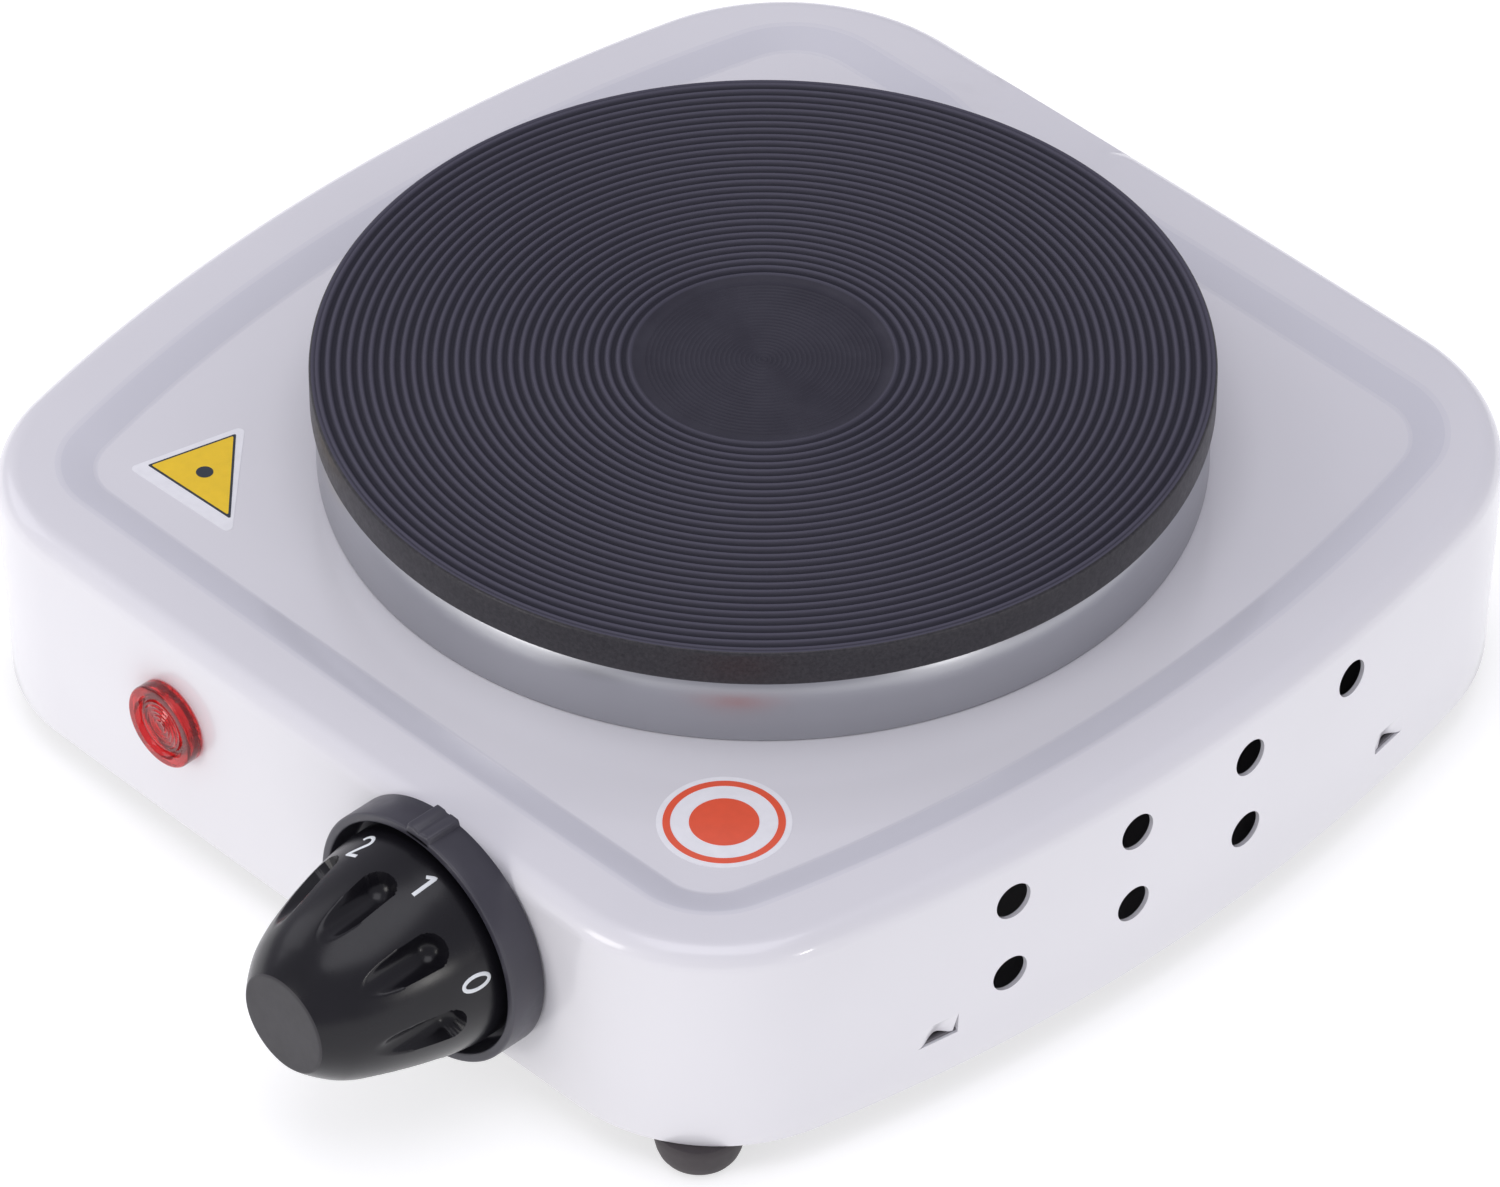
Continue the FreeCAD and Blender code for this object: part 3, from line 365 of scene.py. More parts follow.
def arc(center, radius, start, end, steps=16):
    """Points of an arc in the profile plane, angles in degrees."""
    points = []
    for step in range(steps + 1):
        angle = math.radians(start + (end - start) * step / steps)
        points.append((center[0] + radius * math.cos(angle), center[1] + radius * math.sin(angle)))
    return points


def lathe(name, profile, place, materials, face_material=None, segments=192, closed=True, sharp=40):
    """Turns a profile of (radius, height) about an axis; place maps (x, y, height) to a point.

    A closed profile makes a ring; an open one gets a flat face across each of its ends.
    face_material picks a material index from a face's middle (radius, height)."""
    vertices = []
    for radius, height in profile:
        for step in range(segments):
            angle = TURN * step / segments
            vertices.append(place(radius * math.cos(angle), radius * math.sin(angle), height))
    faces = ring_faces(len(profile), segments, closed)
    picked = None
    if face_material:
        picked = []
        rows = len(profile) if closed else len(profile) - 1
        for row in range(rows):
            first = profile[row]
            second = profile[(row + 1) % len(profile)]
            index = face_material((first[0] + second[0]) / 2, (first[1] + second[1]) / 2)
            picked += [index] * segments
    if not closed:
        faces += [cap(0, segments), cap(len(profile) - 1, segments)]
        if picked is not None:
            picked += [face_material(*profile[0]), face_material(*profile[-1])]
    return make_piece(name, vertices, faces, materials, picked, sharp=sharp)


def upright(axis):
    """Places a turned piece about a vertical axis."""
    return lambda a, b, height: Vector((axis.x + a, axis.y + b, height))


def facing_front(axis):
    """Places a turned piece about an axis out of the front wall; height is measured from that wall."""
    return lambda a, b, height: Vector((axis.x + a, FRONT_WALL - height, axis.z + b))


def facing_back(axis):
    """The same for an axis out of the rear wall."""
    return lambda a, b, height: Vector((axis.x + a, REAR_WALL + height, axis.z + b))


# ---- housing

SIDE_BOW = 333 * MM
END_BOW = 5000 * MM
CORNER_FRONT = 33 * MM
CORNER_REAR = 41 * MM
RECESS_FRONT = 28 * MM
RECESS_REAR = 31 * MM
SHEET = 0.8 * MM
SHOULDER = 4.2 * MM
RIM_INSET = 11.4 * MM
SLOPE_WIDTH = 7.0 * MM
WALL_TUCK = 0.9 * MM
NOTCH_MIDDLE = -29 * MM
NOTCH_FLAT = 11 * MM
NOTCH_RAMP = 7 * MM
NOTCH_FADE_START = 12 * MM
NOTCH_FADE = 6 * MM
OPENING_RADIUS = 64 * MM
EDGE_ROUND = 0.25 * MM
SLOPE_ROUND = 0.15
SLOPE_POWER = 1.2
ARC_STEPS = {"end": 70, "side": 120, "corner": 44}


def heading(vector):
    return math.atan2(vector.y, vector.x)


def flipped(point):
    return Vector((-point.x, point.y))


def corner_center(radius, front):
    """Centre of a right-hand corner, tangent inside both bows, relative to the housing's middle."""
    side_x = HALF_WIDTH - SIDE_BOW
    end_y = END_BOW - HALF_DEPTH
    side_reach = SIDE_BOW - radius
    end_reach = END_BOW - radius
    x = side_x + side_reach
    # Each pass sets the centre's distance from one bow and then from the other, until both hold.
    for _ in range(60):
        y = end_y - math.sqrt(end_reach ** 2 - x ** 2)
        x = side_x + math.sqrt(side_reach ** 2 - y ** 2)
    return Vector((x, y if front else -y))


def plan_arcs(corner_front, corner_rear):
    """Arcs (centre, radius, first and last angle, steps), anticlockwise from the right front corner."""
    right_front = corner_center(corner_front, True)
    right_rear = corner_center(corner_rear, False)
    front = Vector((0, END_BOW - HALF_DEPTH))
    rear = Vector((0, HALF_DEPTH - END_BOW))
    right = Vector((HALF_WIDTH - SIDE_BOW, 0))
    front_right = heading(right_front - front)
    side_front = heading(right_front - right)
    side_rear = heading(right_rear - right)
    rear_right = heading(right_rear - rear)
    right_arcs = [
        (right_front, corner_front, front_right, side_front, ARC_STEPS["corner"]),
        (right, SIDE_BOW, side_front, side_rear, ARC_STEPS["side"]),
        (right_rear, corner_rear, side_rear, rear_right, ARC_STEPS["corner"]),
    ]
    left_arcs = []
    for center, radius, first, last, steps in reversed(right_arcs):
        left_arcs.append((flipped(center), radius, math.pi - last, math.pi - first, steps))
    rear_arc = (rear, END_BOW, rear_right, math.pi - rear_right, ARC_STEPS["end"])
    front_arc = (front, END_BOW, math.pi - front_right, TURN + front_right, ARC_STEPS["end"])
    return right_arcs + [rear_arc] + left_arcs + [front_arc]


def plan_stations(corner_front, corner_rear):
    """(centre, radius, outward normal) all round the plan; an inset only shortens the radius."""
    stations = []
    for center, radius, first, last, steps in plan_arcs(corner_front, corner_rear):
        for step in range(steps):
            angle = first + (last - first) * step / steps
            stations.append((center, radius, Vector((math.cos(angle), math.sin(angle)))))
    return stations


def smooth_step(value):
    """0 to 1 with level ends, and flat beyond them."""
    value = max(0.0, min(1.0, value))
    return value * value * (3 - 2 * value)


def notch_share(x, normal):
    """1 in the gap of the rear rim, 0 away from it, with a ramp at each end."""
    if normal.y < 0.5:
        return 0.0
    beyond = abs(x - NOTCH_MIDDLE) - NOTCH_FLAT
    return 1.0 - smooth_step(beyond / NOTCH_RAMP)


def tuck(share):
    """How far the wall stands in at a share of its height."""
    return WALL_TUCK * (1 - smooth_step(share * 1.25))


def shell_profile(down):
    """(inset, height) from the wall's bottom edge over the rim to the deck.

    down is 0 for the sheet's outer face, and its thickness for the inner one."""
    drop = RIM_TOP - DECK_TOP
    shoulder = SHOULDER - down
    top = RIM_TOP - down
    shoulder_center = (SHOULDER, RIM_TOP - SHOULDER)
    points = []
    edge = EDGE_ROUND if down == 0 else 0.0
    points.append((WALL_TUCK + down + edge, WALL_BOTTOM))
    if down == 0:
        points.append((WALL_TUCK + 0.07 * MM, WALL_BOTTOM + 0.07 * MM))
        points.append((WALL_TUCK, WALL_BOTTOM + edge))
    for share in (0.12, 0.25, 0.4, 0.55, 0.7, 0.85):
        height = WALL_BOTTOM + (shoulder_center[1] - WALL_BOTTOM) * share
        points.append((tuck(share) + down, height))
    for step in range(13):
        angle = math.radians(90 * step / 12)
        points.append((shoulder_center[0] - shoulder * math.cos(angle),
                       shoulder_center[1] + shoulder * math.sin(angle)))
    points.append((SHOULDER + (RIM_INSET - SHOULDER) * 0.5, top))
    for share in (0.0, 0.04, 0.09, 0.15, 0.24, 0.36, 0.5, 0.64, 0.76, 0.86, 0.93, 0.97, 1.0):
        start = share < SLOPE_ROUND
        fall = share ** 2 / (2 * SLOPE_ROUND) if start else share - SLOPE_ROUND / 2
        fall = (fall / (1 - SLOPE_ROUND / 2)) ** SLOPE_POWER
        points.append((RIM_INSET + SLOPE_WIDTH * share, top - drop * fall))
    points.append((RIM_INSET + SLOPE_WIDTH + 0.25 * MM, DECK_TOP - down))
    points.append((RIM_INSET + SLOPE_WIDTH + 1.5 * MM, DECK_TOP - down))
    return points


def shell_skin(outline, recess, down):
    """Rows of points of one skin, ending in a circle round the plate's axis."""
    rows = []
    for inset, height in shell_profile(down):
        row = []
        for center, radius, normal in (outline if inset < RIM_INSET else recess):
            flat = center + normal * (radius - inset)
            fade = smooth_step((height - (RIM_TOP - NOTCH_FADE_START)) / NOTCH_FADE)
            sink = (RIM_TOP - DECK_TOP) * notch_share(flat.x, normal) * fade
            lowest = min(height, DECK_TOP - down)
            row.append(Vector((flat.x, flat.y + SHELL_MIDDLE_Y, max(height - sink, lowest))))
        rows.append(row)
    edge = rows[-1]
    for share in (0.25, 0.5, 0.75, 1.0):
        row = []
        for point in edge:
            out = Vector((point.x - PLATE_MIDDLE.x, point.y - PLATE_MIDDLE.y))
            target = out.normalized() * OPENING_RADIUS
            flat = out.lerp(target, share)
            row.append(Vector((flat.x + PLATE_MIDDLE.x, flat.y + PLATE_MIDDLE.y, DECK_TOP - down)))
        rows.append(row)
    return rows


def cutter(name, vertices, faces):
    """A plain solid that punch() takes away again."""
    mesh = bpy.data.meshes.new(name)
    mesh.from_pydata([tuple(v) for v in vertices], [], faces)
    mesh.update()
    piece = add_object(name, mesh)
    tidy_mesh(piece, smooth=False)
    return piece


def rod_cutter(name, start, end, radius):
    """A round punch from start to end."""
    segments = 40
    along = end - start
    turn = along.to_track_quat("Z", "Y")
    vertices = []
    for place in (start, end):
        for step in range(segments):
            angle = TURN * step / segments
            vertices.append(place + turn @ Vector((radius * math.cos(angle), radius * math.sin(angle), 0)))
    faces = ring_faces(2, segments) + [cap(0, segments), cap(1, segments)]
    return cutter(name, vertices, faces)


def box_cutter(name, low, high):
    vertices = [Vector((x, y, z))
                for x in (low.x, high.x) for y in (low.y, high.y) for z in (low.z, high.z)]
    faces = [(0, 1, 3, 2), (4, 6, 7, 5), (0, 4, 5, 1), (2, 3, 7, 6), (0, 2, 6, 4), (1, 5, 7, 3)]
    return cutter(name, vertices, faces)


def punch(piece, tools):
    """Cuts the tools out of a piece and removes them."""
    for tool in tools:
        modifier = piece.modifiers.new("punch", "BOOLEAN")
        modifier.operation = "DIFFERENCE"
        modifier.solver = "EXACT"
        modifier.object = tool
    bpy.context.view_layer.update()
    graph = bpy.context.evaluated_depsgraph_get()
    mesh = bpy.data.meshes.new_from_object(piece.evaluated_get(graph))
    piece.modifiers.clear()
    old = piece.data
    piece.data = mesh
    bpy.data.meshes.remove(old)
    for tool in tools:
        bpy.data.objects.remove(tool)


VENT_RADIUS = 3.5 * MM
VENT_PITCH = 26.8 * MM
VENT_FIRST = -42.4 * MM
VENT_ROWS = ((39.0 * MM, 4), (22.7 * MM, 3))
LANCE_PLACES = (-56.7 * MM, 51.1 * MM)
LANCE_LEVEL = 15.0 * MM
LANCE_WIDTH = 8 * MM
LANCE_HEIGHT = 4.2 * MM
SHAFT_HOLE_RADIUS = 6.5 * MM
LAMP_HOLE_RADIUS = 6.2 * MM
INLET_HOLE_RADIUS = 6.5 * MM
PUNCH_REACH = 12 * MM


def side_tools():
    """Punches for the vents and the lances, through both side walls at once."""
    tools = []
    reach = HALF_WIDTH + 5 * MM
    for level, count in VENT_ROWS:
        for step in range(count):
            y = SHELL_MIDDLE_Y + VENT_FIRST + VENT_PITCH * step
            tools.append(rod_cutter("vent", Vector((-reach, y, level)), Vector((reach, y, level)),
                                    VENT_RADIUS))
    for place in LANCE_PLACES:
        y = SHELL_MIDDLE_Y + place
        tools.append(box_cutter("lance", Vector((-reach, y - LANCE_WIDTH / 2, LANCE_LEVEL)),
                                Vector((reach, y + LANCE_WIDTH / 2, LANCE_LEVEL + LANCE_HEIGHT))))
    return tools


def end_tools():
    """Punches for the control's shaft, the lamp and the mains inlet."""
    tools = []
    for name, axis, wall, radius in (("shaft_hole", KNOB_AXIS, FRONT_WALL, SHAFT_HOLE_RADIUS),
                                     ("lamp_hole", LENS_AXIS, FRONT_WALL, LAMP_HOLE_RADIUS),
                                     ("inlet_hole", middle("cord_grommet"), REAR_WALL, INLET_HOLE_RADIUS)):
        start = Vector((axis.x, wall - PUNCH_REACH, axis.z))
        end = Vector((axis.x, wall + PUNCH_REACH, axis.z))
        tools.append(rod_cutter(name, start, end, radius))
    return tools


def wall_x(y, inset):
    """Distance of a side wall from the middle plane at a given y."""
    radius = SIDE_BOW - inset
    return HALF_WIDTH - SIDE_BOW + math.sqrt(radius ** 2 - (y - SHELL_MIDDLE_Y) ** 2)


def wall_inset(height):
    """How far the wall stands in at a height."""
    return tuck((height - WALL_BOTTOM) / (RIM_TOP - SHOULDER - WALL_BOTTOM))


LANCE_PUSH = 1.3 * MM
LANCE_GAP = 1.15 * MM
LANCE_SLIT = 0.09


def lance_tongue(side, place):
    """Corner of the wall sheared along its bottom and its inner edge, and pressed inwards."""
    columns = 12
    rows = 10
    skins = []
    middle_y = SHELL_MIDDLE_Y + place
    end = -1 if place < 0 else 1
    for down in (0.0, SHEET):
        for row in range(rows + 1):
            for column in range(columns + 1):
                across = column / columns
                up = row / rows
                reach = across - 0.5 - LANCE_SLIT * across * (1 - up)
                y = middle_y - reach * LANCE_WIDTH * end
                bulge = smooth_step(across * 1.6) * (1 - 0.7 * smooth_step(across * 2.5 - 1.5))
                gap = LANCE_GAP * bulge
                z = LANCE_LEVEL + up * LANCE_HEIGHT + gap * (1 - up)
                push = LANCE_PUSH * bulge * (1 - up) ** 0.8
                x = wall_x(y, wall_inset(z) + down) - push
                skins.append(Vector((side * x, y, z)))
    width = columns + 1
    block = width * (rows + 1)

    def at(skin, row, column):
        return skin * block + row * width + column
    faces = []
    for row in range(rows):
        for column in range(columns):
            for skin in (0, 1):
                faces.append((at(skin, row, column), at(skin, row, column + 1),
                              at(skin, row + 1, column + 1), at(skin, row + 1, column)))
    for row in range(rows):
        for column in (0, columns):
            faces.append((at(0, row, column), at(0, row + 1, column),
                          at(1, row + 1, column), at(1, row, column)))
    for column in range(columns):
        for row in (0, rows):
            faces.append((at(0, row, column), at(0, row, column + 1),
                          at(1, row, column + 1), at(1, row, column)))
    return skins, faces


def slope_shade_finish(inset):
    """Index of the finish at an inset: plain, painted shade on the slope, or paler painted shade at the
    slope's edges.
    """
    share = (inset - RIM_INSET) / SLOPE_WIDTH
    if share < 0 or share >= 1:
        return 0
    return 1 if 0.14 < share < 0.92 else 2


def housing():
    """Pressed shell: an outer and an inner skin, punched, with its lances pressed inwards."""
    outline = plan_stations(CORNER_FRONT, CORNER_REAR)
    recess = plan_stations(RECESS_FRONT, RECESS_REAR)
    rows = shell_skin(outline, recess, 0.0) + list(reversed(shell_skin(outline, recess, SHEET)))
    vertices = [point for row in rows for point in row]
    faces = ring_faces(len(rows), len(outline), True)
    # Faces on the slope band take the painted shade finishes.
    finishes = [slope_shade_finish(inset) for inset, height in shell_profile(0.0)]
    picked = []
    for face in faces:
        row = face[0] // len(outline)
        picked.append(finishes[row] if row < len(finishes) else 0)
    shell = make_piece("housing", vertices, faces, ["enamel", "enamel_painted_shade", "enamel_painted_shade_fade"], picked,
                       sharp=45)
    punch(shell, side_tools() + end_tools())
    join_tongues(shell)
    tidy_mesh(shell, sharp=45)
    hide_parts("housing_shell")


def join_tongues(shell):
    """Adds the lances' pressed-in flaps to the shell."""
    build = bmesh.new()
    build.from_mesh(shell.data)
    for side in (-1, 1):
        for place in LANCE_PLACES:
            points, faces = lance_tongue(side, place)
            made = [build.verts.new(point) for point in points]
            for face in faces:
                build.faces.new([made[index] for index in face])
    build.to_mesh(shell.data)
    build.free()


# ---- plate and ring

SKIRT_OUTER = 74.3 * MM
SKIRT_INNER = 68.0 * MM
BOSS_OUTER = 18.0 * MM
BOSS_INNER = 4.0 * MM


def plate_top_profile():
    """Fine turning marks in the dish, then ridges out to the edge."""
    points = []
    marks = int(DISH_RADIUS / DISH_PITCH) - 1
    for mark in range(marks):
        radius = (mark + 0.35) * DISH_PITCH
        base = PLATE_TOP - DISH_DEPTH
        for share, lift in ((0.0, 0.0), (0.3, 0.2), (0.6, 0.0)):
            points.append((radius + share * DISH_PITCH, base + lift * MM))
    edge = DISH_RADIUS - 0.3 * MM
    points += [(edge, PLATE_TOP - DISH_DEPTH), (edge + 0.35 * MM, PLATE_TOP - DISH_DEPTH * 0.85),
               (edge + 0.9 * MM, PLATE_TOP - DISH_DEPTH * 0.3), (edge + 1.4 * MM, PLATE_TOP - 0.05 * MM)]
    start = PLATE_RADIUS - 0.7 * MM - RIDGE_COUNT * RIDGE_PITCH
    for ridge in range(RIDGE_COUNT):
        radius = start + ridge * RIDGE_PITCH
        for share, sink in ((0.0, 1.0), (0.26, 0.95), (0.42, 0.4), (0.54, 0.02), (0.7, 0.02), (0.82, 0.4)):
            points.append((radius + share * RIDGE_PITCH, PLATE_TOP - RIDGE_DEPTH * sink))
    return points


def hot_plate():
    """Ridged disc with a skirt and a boss under it."""
    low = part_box("hot_plate")[0].z
    seat = RING_TOP
    edge = PLATE_RADIUS
    profile = plate_top_profile()
    profile += [(edge - 0.7 * MM, PLATE_TOP - 0.08 * MM)]
    profile += arc((edge - 0.6 * MM, PLATE_TOP - 0.65 * MM), 0.6 * MM, 80, 0, 6)
    profile += [(edge, seat + 0.5 * MM), (edge - 0.15 * MM, seat + 0.15 * MM),
                (edge - 0.5 * MM, seat + 0.02 * MM), (SKIRT_OUTER, seat + 0.02 * MM), (SKIRT_OUTER, low),
                (SKIRT_INNER, low), (SKIRT_INNER, seat), (BOSS_OUTER, seat), (BOSS_OUTER, low),
                (BOSS_INNER, low), (BOSS_INNER, seat)]

    def pick(radius, height):
        """Index of the finish: ridged top, rim and underside, or dish."""
        if radius > edge - 0.35 * MM or height < seat + 0.4 * MM:
            return 1
        return 2 if radius < DISH_RADIUS + 0.6 * MM else 0
    finishes = ["cast_iron", "cast_iron_side", "cast_iron_dish"]
    plate = lathe("ridged_plate", profile, upright(PLATE_MIDDLE), finishes, pick, segments=320,
                  closed=False, sharp=50)
    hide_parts("hot_plate")


def spill_ring():
    """Rolled steel band: small outward foot, straight wall, rounded top lip turned in under the plate."""
    out = RING_RADIUS
    gauge = 0.5 * MM
    lip_width = 2.6 * MM
    lip_height = 6.5 * MM
    profile = [(out - 3 * MM, DECK_TOP), (out - 0.5 * MM, DECK_TOP)]
    profile += arc((out - 0.5 * MM, DECK_TOP + 0.5 * MM), 0.5 * MM, -60, 0, 3)
    outside = []
    inside = []
    for angle, rise in arc((0, 0), 1, 0, 90):
        outside.append((out - lip_width * (1 - angle), RING_TOP - lip_height * (1 - rise)))
        inside.append((out - gauge - (lip_width - gauge * 0.5) * (1 - angle),
                       RING_TOP - gauge - (lip_height - gauge) * (1 - rise)))
    profile += outside + list(reversed(inside))
    profile += [(out - gauge, DECK_TOP + gauge), (out - 3 * MM, DECK_TOP + gauge)]
    ring = lathe("steel_ring", profile, upright(PLATE_MIDDLE), ["stainless"], segments=256, sharp=50)
    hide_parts("spill_ring")


# ---- knob and dial

KNOB_STEPS = 384
FLUTES = 8
FLUTE_RADIUS = 3.0 * MM
FLUTE_AXIS = 17.6 * MM
FLUTE_START = 13.5 * MM
FLUTE_PHASE = 41.0
DIGIT_ANGLES = (15, 71, 116, 162, 208, 254)
DIGIT_DEPTH = 10.9 * MM
DIGIT_HEIGHT = 4.9 * MM
DIGIT_STROKE = 0.36 * MM
DIGIT_HALF_WIDTH = 0.28 * DIGIT_HEIGHT
PAINT_FLATNESS = 0.2
PAINT_LIFT = 0.02 * MM
HUB_BORE = 3.05 * MM
HUB_RADIUS = 6.2 * MM
HUB_MOUTH = 2.2 * MM
HOLLOW_END = 31 * MM


KNOB_CURVE = (
    (0.25, 2.0), (0, 2.3), (0, 5), (0.1, 8), (0.5, 11), (1.1, 14.5), (2.0, 18.5), (3.1, 22.5),
    (4.3, 26.2), (5.5, 29.2), (6.7, 31.6), (8.0, 33.5), (9.2, 35.0), (10.1, 36.0), (10.6, 36.5),
    (10.9, 36.75),
)


def knob_profile():
    """(radius, depth before the wall) from the open skirt to the cap.

    KNOB_CURVE gives millimetres inside the skirt's radius, and before the wall."""
    points = [(KNOB_SKIRT - inset * MM, depth * MM) for inset, depth in KNOB_CURVE]
    return points + [(KNOB_SKIRT - 11.3 * MM, KNOB_END), (KNOB_SKIRT - 12.4 * MM, KNOB_END)]


def knob_hollow():
    """(radius, depth before the wall) of the inside: the hub, then the skirt."""
    hub = [(HUB_BORE, HOLLOW_END), (HUB_BORE, HUB_MOUTH), (HUB_RADIUS, HUB_MOUTH), (HUB_RADIUS, HOLLOW_END)]
    skirt = [(KNOB_SKIRT - 2.0 * MM, 9 * MM), (KNOB_SKIRT - 1.8 * MM, 2.0 * MM)]
    return hub + millimetres((9.0, 31), (11.8, 26), (12.8, 12)) + skirt


def along_profile(points, steps):
    """Evenly spaced points on a smooth curve through the profile (Catmull-Rom)."""
    fine = []
    for i in range(len(points) - 1):
        before = points[max(i - 1, 0)]
        first = points[i]
        second = points[i + 1]
        after = points[min(i + 2, len(points) - 1)]
        for step in range(24):
            t = step / 24
            fine.append(tuple(0.5 * (2 * b + (c - a) * t + (2 * a - 5 * b + 4 * c - d) * t * t
                                     + (3 * b - a - 3 * c + d) * t ** 3)
                              for a, b, c, d in zip(before, first, second, after)))
    fine.append(points[-1])
    lengths = [0.0]
    for first, second in zip(fine, fine[1:]):
        lengths.append(lengths[-1] + math.dist(first, second))
    spaced = []
    index = 0
    for step in range(steps + 1):
        target = lengths[-1] * step / steps
        while index < len(fine) - 2 and lengths[index + 1] < target:
            index += 1
        reach = lengths[index + 1] - lengths[index]
        share = (target - lengths[index]) / reach if reach else 0.0
        spaced.append(tuple(a + (b - a) * share for a, b in zip(fine[index], fine[index + 1])))
    return spaced


def flute_radius(angle, depth):
    """Radius of the scooped surface at this angle and depth, or None outside every flute."""
    pitch = TURN / FLUTES
    offset = (angle - math.radians(FLUTE_PHASE)) % pitch
    offset = offset - pitch if offset > pitch / 2 else offset
    tool = FLUTE_RADIUS
    if depth < FLUTE_START + tool:
        short = FLUTE_START + tool - depth
        if short >= tool:
            return None
        tool = math.sqrt(tool ** 2 - short ** 2)
    side = FLUTE_AXIS * math.sin(offset)
    if abs(side) >= tool:
        return None
    return FLUTE_AXIS * math.cos(offset) - math.sqrt(tool ** 2 - side ** 2)


def soft_least(first, second, blend):
    """The smaller of two lengths, eased where they meet."""
    share = max(0.0, min(1.0, 0.5 + 0.5 * (second - first) / blend))
    return second * (1 - share) + first * share - blend * share * (1 - share)


def knob_surface_radius(angle, radius, depth):
    """The profile's radius, or the flute's where it cuts deeper."""
    scoop = flute_radius(angle, depth)
    if scoop is None or radius < FLUTE_AXIS - FLUTE_RADIUS - 1 * MM:
        return radius
    return soft_least(radius, scoop, 0.5 * MM)


def control_knob():
    """Fluted skirt, cap and hollow as one piece, and its painted digits."""
    place = facing_front(KNOB_AXIS)
    outer = along_profile(knob_profile(), 190)
    inner = knob_hollow()
    vertices = []
    for row, (radius, depth) in enumerate(outer + inner):
        for step in range(KNOB_STEPS):
            angle = TURN * step / KNOB_STEPS
            reach = knob_surface_radius(angle, radius, depth) if row < len(outer) else radius
            vertices.append(place(reach * math.cos(angle), reach * math.sin(angle), depth))
    cap_row = len(outer) - 1
    rows = len(outer) + len(inner)
    faces = []
    picked = []
    for face in ring_faces(rows, KNOB_STEPS, True):
        row = face[0] // KNOB_STEPS
        if row == cap_row:
            continue
        faces.append(face)
        on_cap = row < cap_row and outer[row][0] < KNOB_SKIRT - 10.5 * MM
        picked.append(1 if on_cap else 0)
    faces += [cap(cap_row, KNOB_STEPS), cap(cap_row + 1, KNOB_STEPS)]
    picked += [1, 0]
    knob = make_piece("fluted_knob", vertices, faces, ["knob_plastic", "knob_cap"], picked, "control",
                      sharp=60)
    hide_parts("control_knob")
    for value in range(len(DIGIT_ANGLES)):
        dial_digit(value, outer)


def radius_at(profile, depth):
    """Radius of the profile at a depth."""
    for (first_radius, first_depth), (second_radius, second_depth) in zip(profile, profile[1:]):
        if first_depth <= depth <= second_depth:
            share = (depth - first_depth) / (second_depth - first_depth)
            return first_radius + (second_radius - first_radius) * share
    return profile[0][0]


def digit_strokes(value):
    """Stroke of a digit in a box one unit high."""
    return {
        0: [(0.27 + 0.25 * x, 0.5 + 0.5 * y) for x, y in arc((0, 0), 1, 0, 360, 32)],
        1: [(0.10, 0.78), (0.34, 1.0), (0.34, 0.0)],
        2: arc((0.28, 0.73), 0.26, 165, -38) + [(0.03, 0.0), (0.56, 0.0)],
        3: arc((0.27, 0.75), 0.24, 150, -80) + arc((0.27, 0.27), 0.27, 80, -150),
        4: [(0.40, 0.0), (0.40, 1.0), (0.0, 0.30), (0.58, 0.30)],
        5: [(0.50, 1.0), (0.10, 1.0), (0.06, 0.56)] + arc((0.27, 0.32), 0.31, 128, -145),
    }[value]


def dial_digit(value, profile):
    """A painted digit wrapped on the skirt, its top towards the wall."""
    curve = bpy.data.curves.new("digit", "CURVE")
    curve.dimensions = "3D"
    curve.bevel_depth = DIGIT_STROKE
    curve.bevel_resolution = 4
    curve.use_fill_caps = True
    points = subdivided([(x * DIGIT_HEIGHT, y * DIGIT_HEIGHT) for x, y in digit_strokes(value)])
    spline = curve.splines.new("POLY")
    spline.points.add(len(points) - 1)
    for point, (x, y) in zip(spline.points, points):
        point.co = (x, y, 0, 1)
    stroke = add_object("digit", curve)
    bpy.context.view_layer.update()
    graph = bpy.context.evaluated_depsgraph_get()
    mesh = bpy.data.meshes.new_from_object(stroke.evaluated_get(graph))
    bpy.data.objects.remove(stroke)
    place = facing_front(KNOB_AXIS)
    middle_angle = math.radians(DIGIT_ANGLES[value])
    for vertex in mesh.vertices:
        depth = DIGIT_DEPTH - (vertex.co.y - DIGIT_HEIGHT / 2)
        radius = radius_at(profile, depth)
        angle = middle_angle - (vertex.co.x - DIGIT_HALF_WIDTH) / radius
        radius += vertex.co.z * PAINT_FLATNESS + PAINT_LIFT
        vertex.co = place(radius * math.cos(angle), radius * math.sin(angle), depth)
    mesh.materials.clear()
    mesh.materials.append(MATERIALS["dial_paint"])
    digit = add_object("dial_digit_%d" % value, mesh)
    tidy_mesh(digit)
    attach(digit, "control")


def subdivided(points):
    """The same line with points at most a fifth of a millimetre apart."""
    fine = []
    for first, second in zip(points, points[1:]):
        steps = max(1, int(math.dist(first, second) / (0.2 * MM)))
        for step in range(steps):
            share = step / steps
            fine.append(tuple(a + (b - a) * share for a, b in zip(first, second)))
    fine.append(points[-1])
    return fine


def dial_bezel():
    """Round cup with softly rounded lips, and the index rib over its top."""
    out = BEZEL_RADIUS
    depth = BEZEL_DEPTH
    wall = 1.7 * MM
    soft = 0.45 * MM
    profile = [(SHAFT_HOLE_RADIUS, 0.0), (out - 0.2 * MM, 0.0), (out, 0.2 * MM)]
    profile += arc((out - soft, depth - soft), soft, 0, 90, 5)
    profile += arc((out - wall + soft, depth - soft), soft, 90, 180, 5)
    profile += [(out - wall, 2.0 * MM), (out - wall - 0.5 * MM, 1.5 * MM), (SHAFT_HOLE_RADIUS, 1.5 * MM)]
    bezel = lathe("bezel_cup", profile, facing_front(KNOB_AXIS), ["bezel_plastic"], sharp=50)
    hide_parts("dial_bezel")
    index_rib()


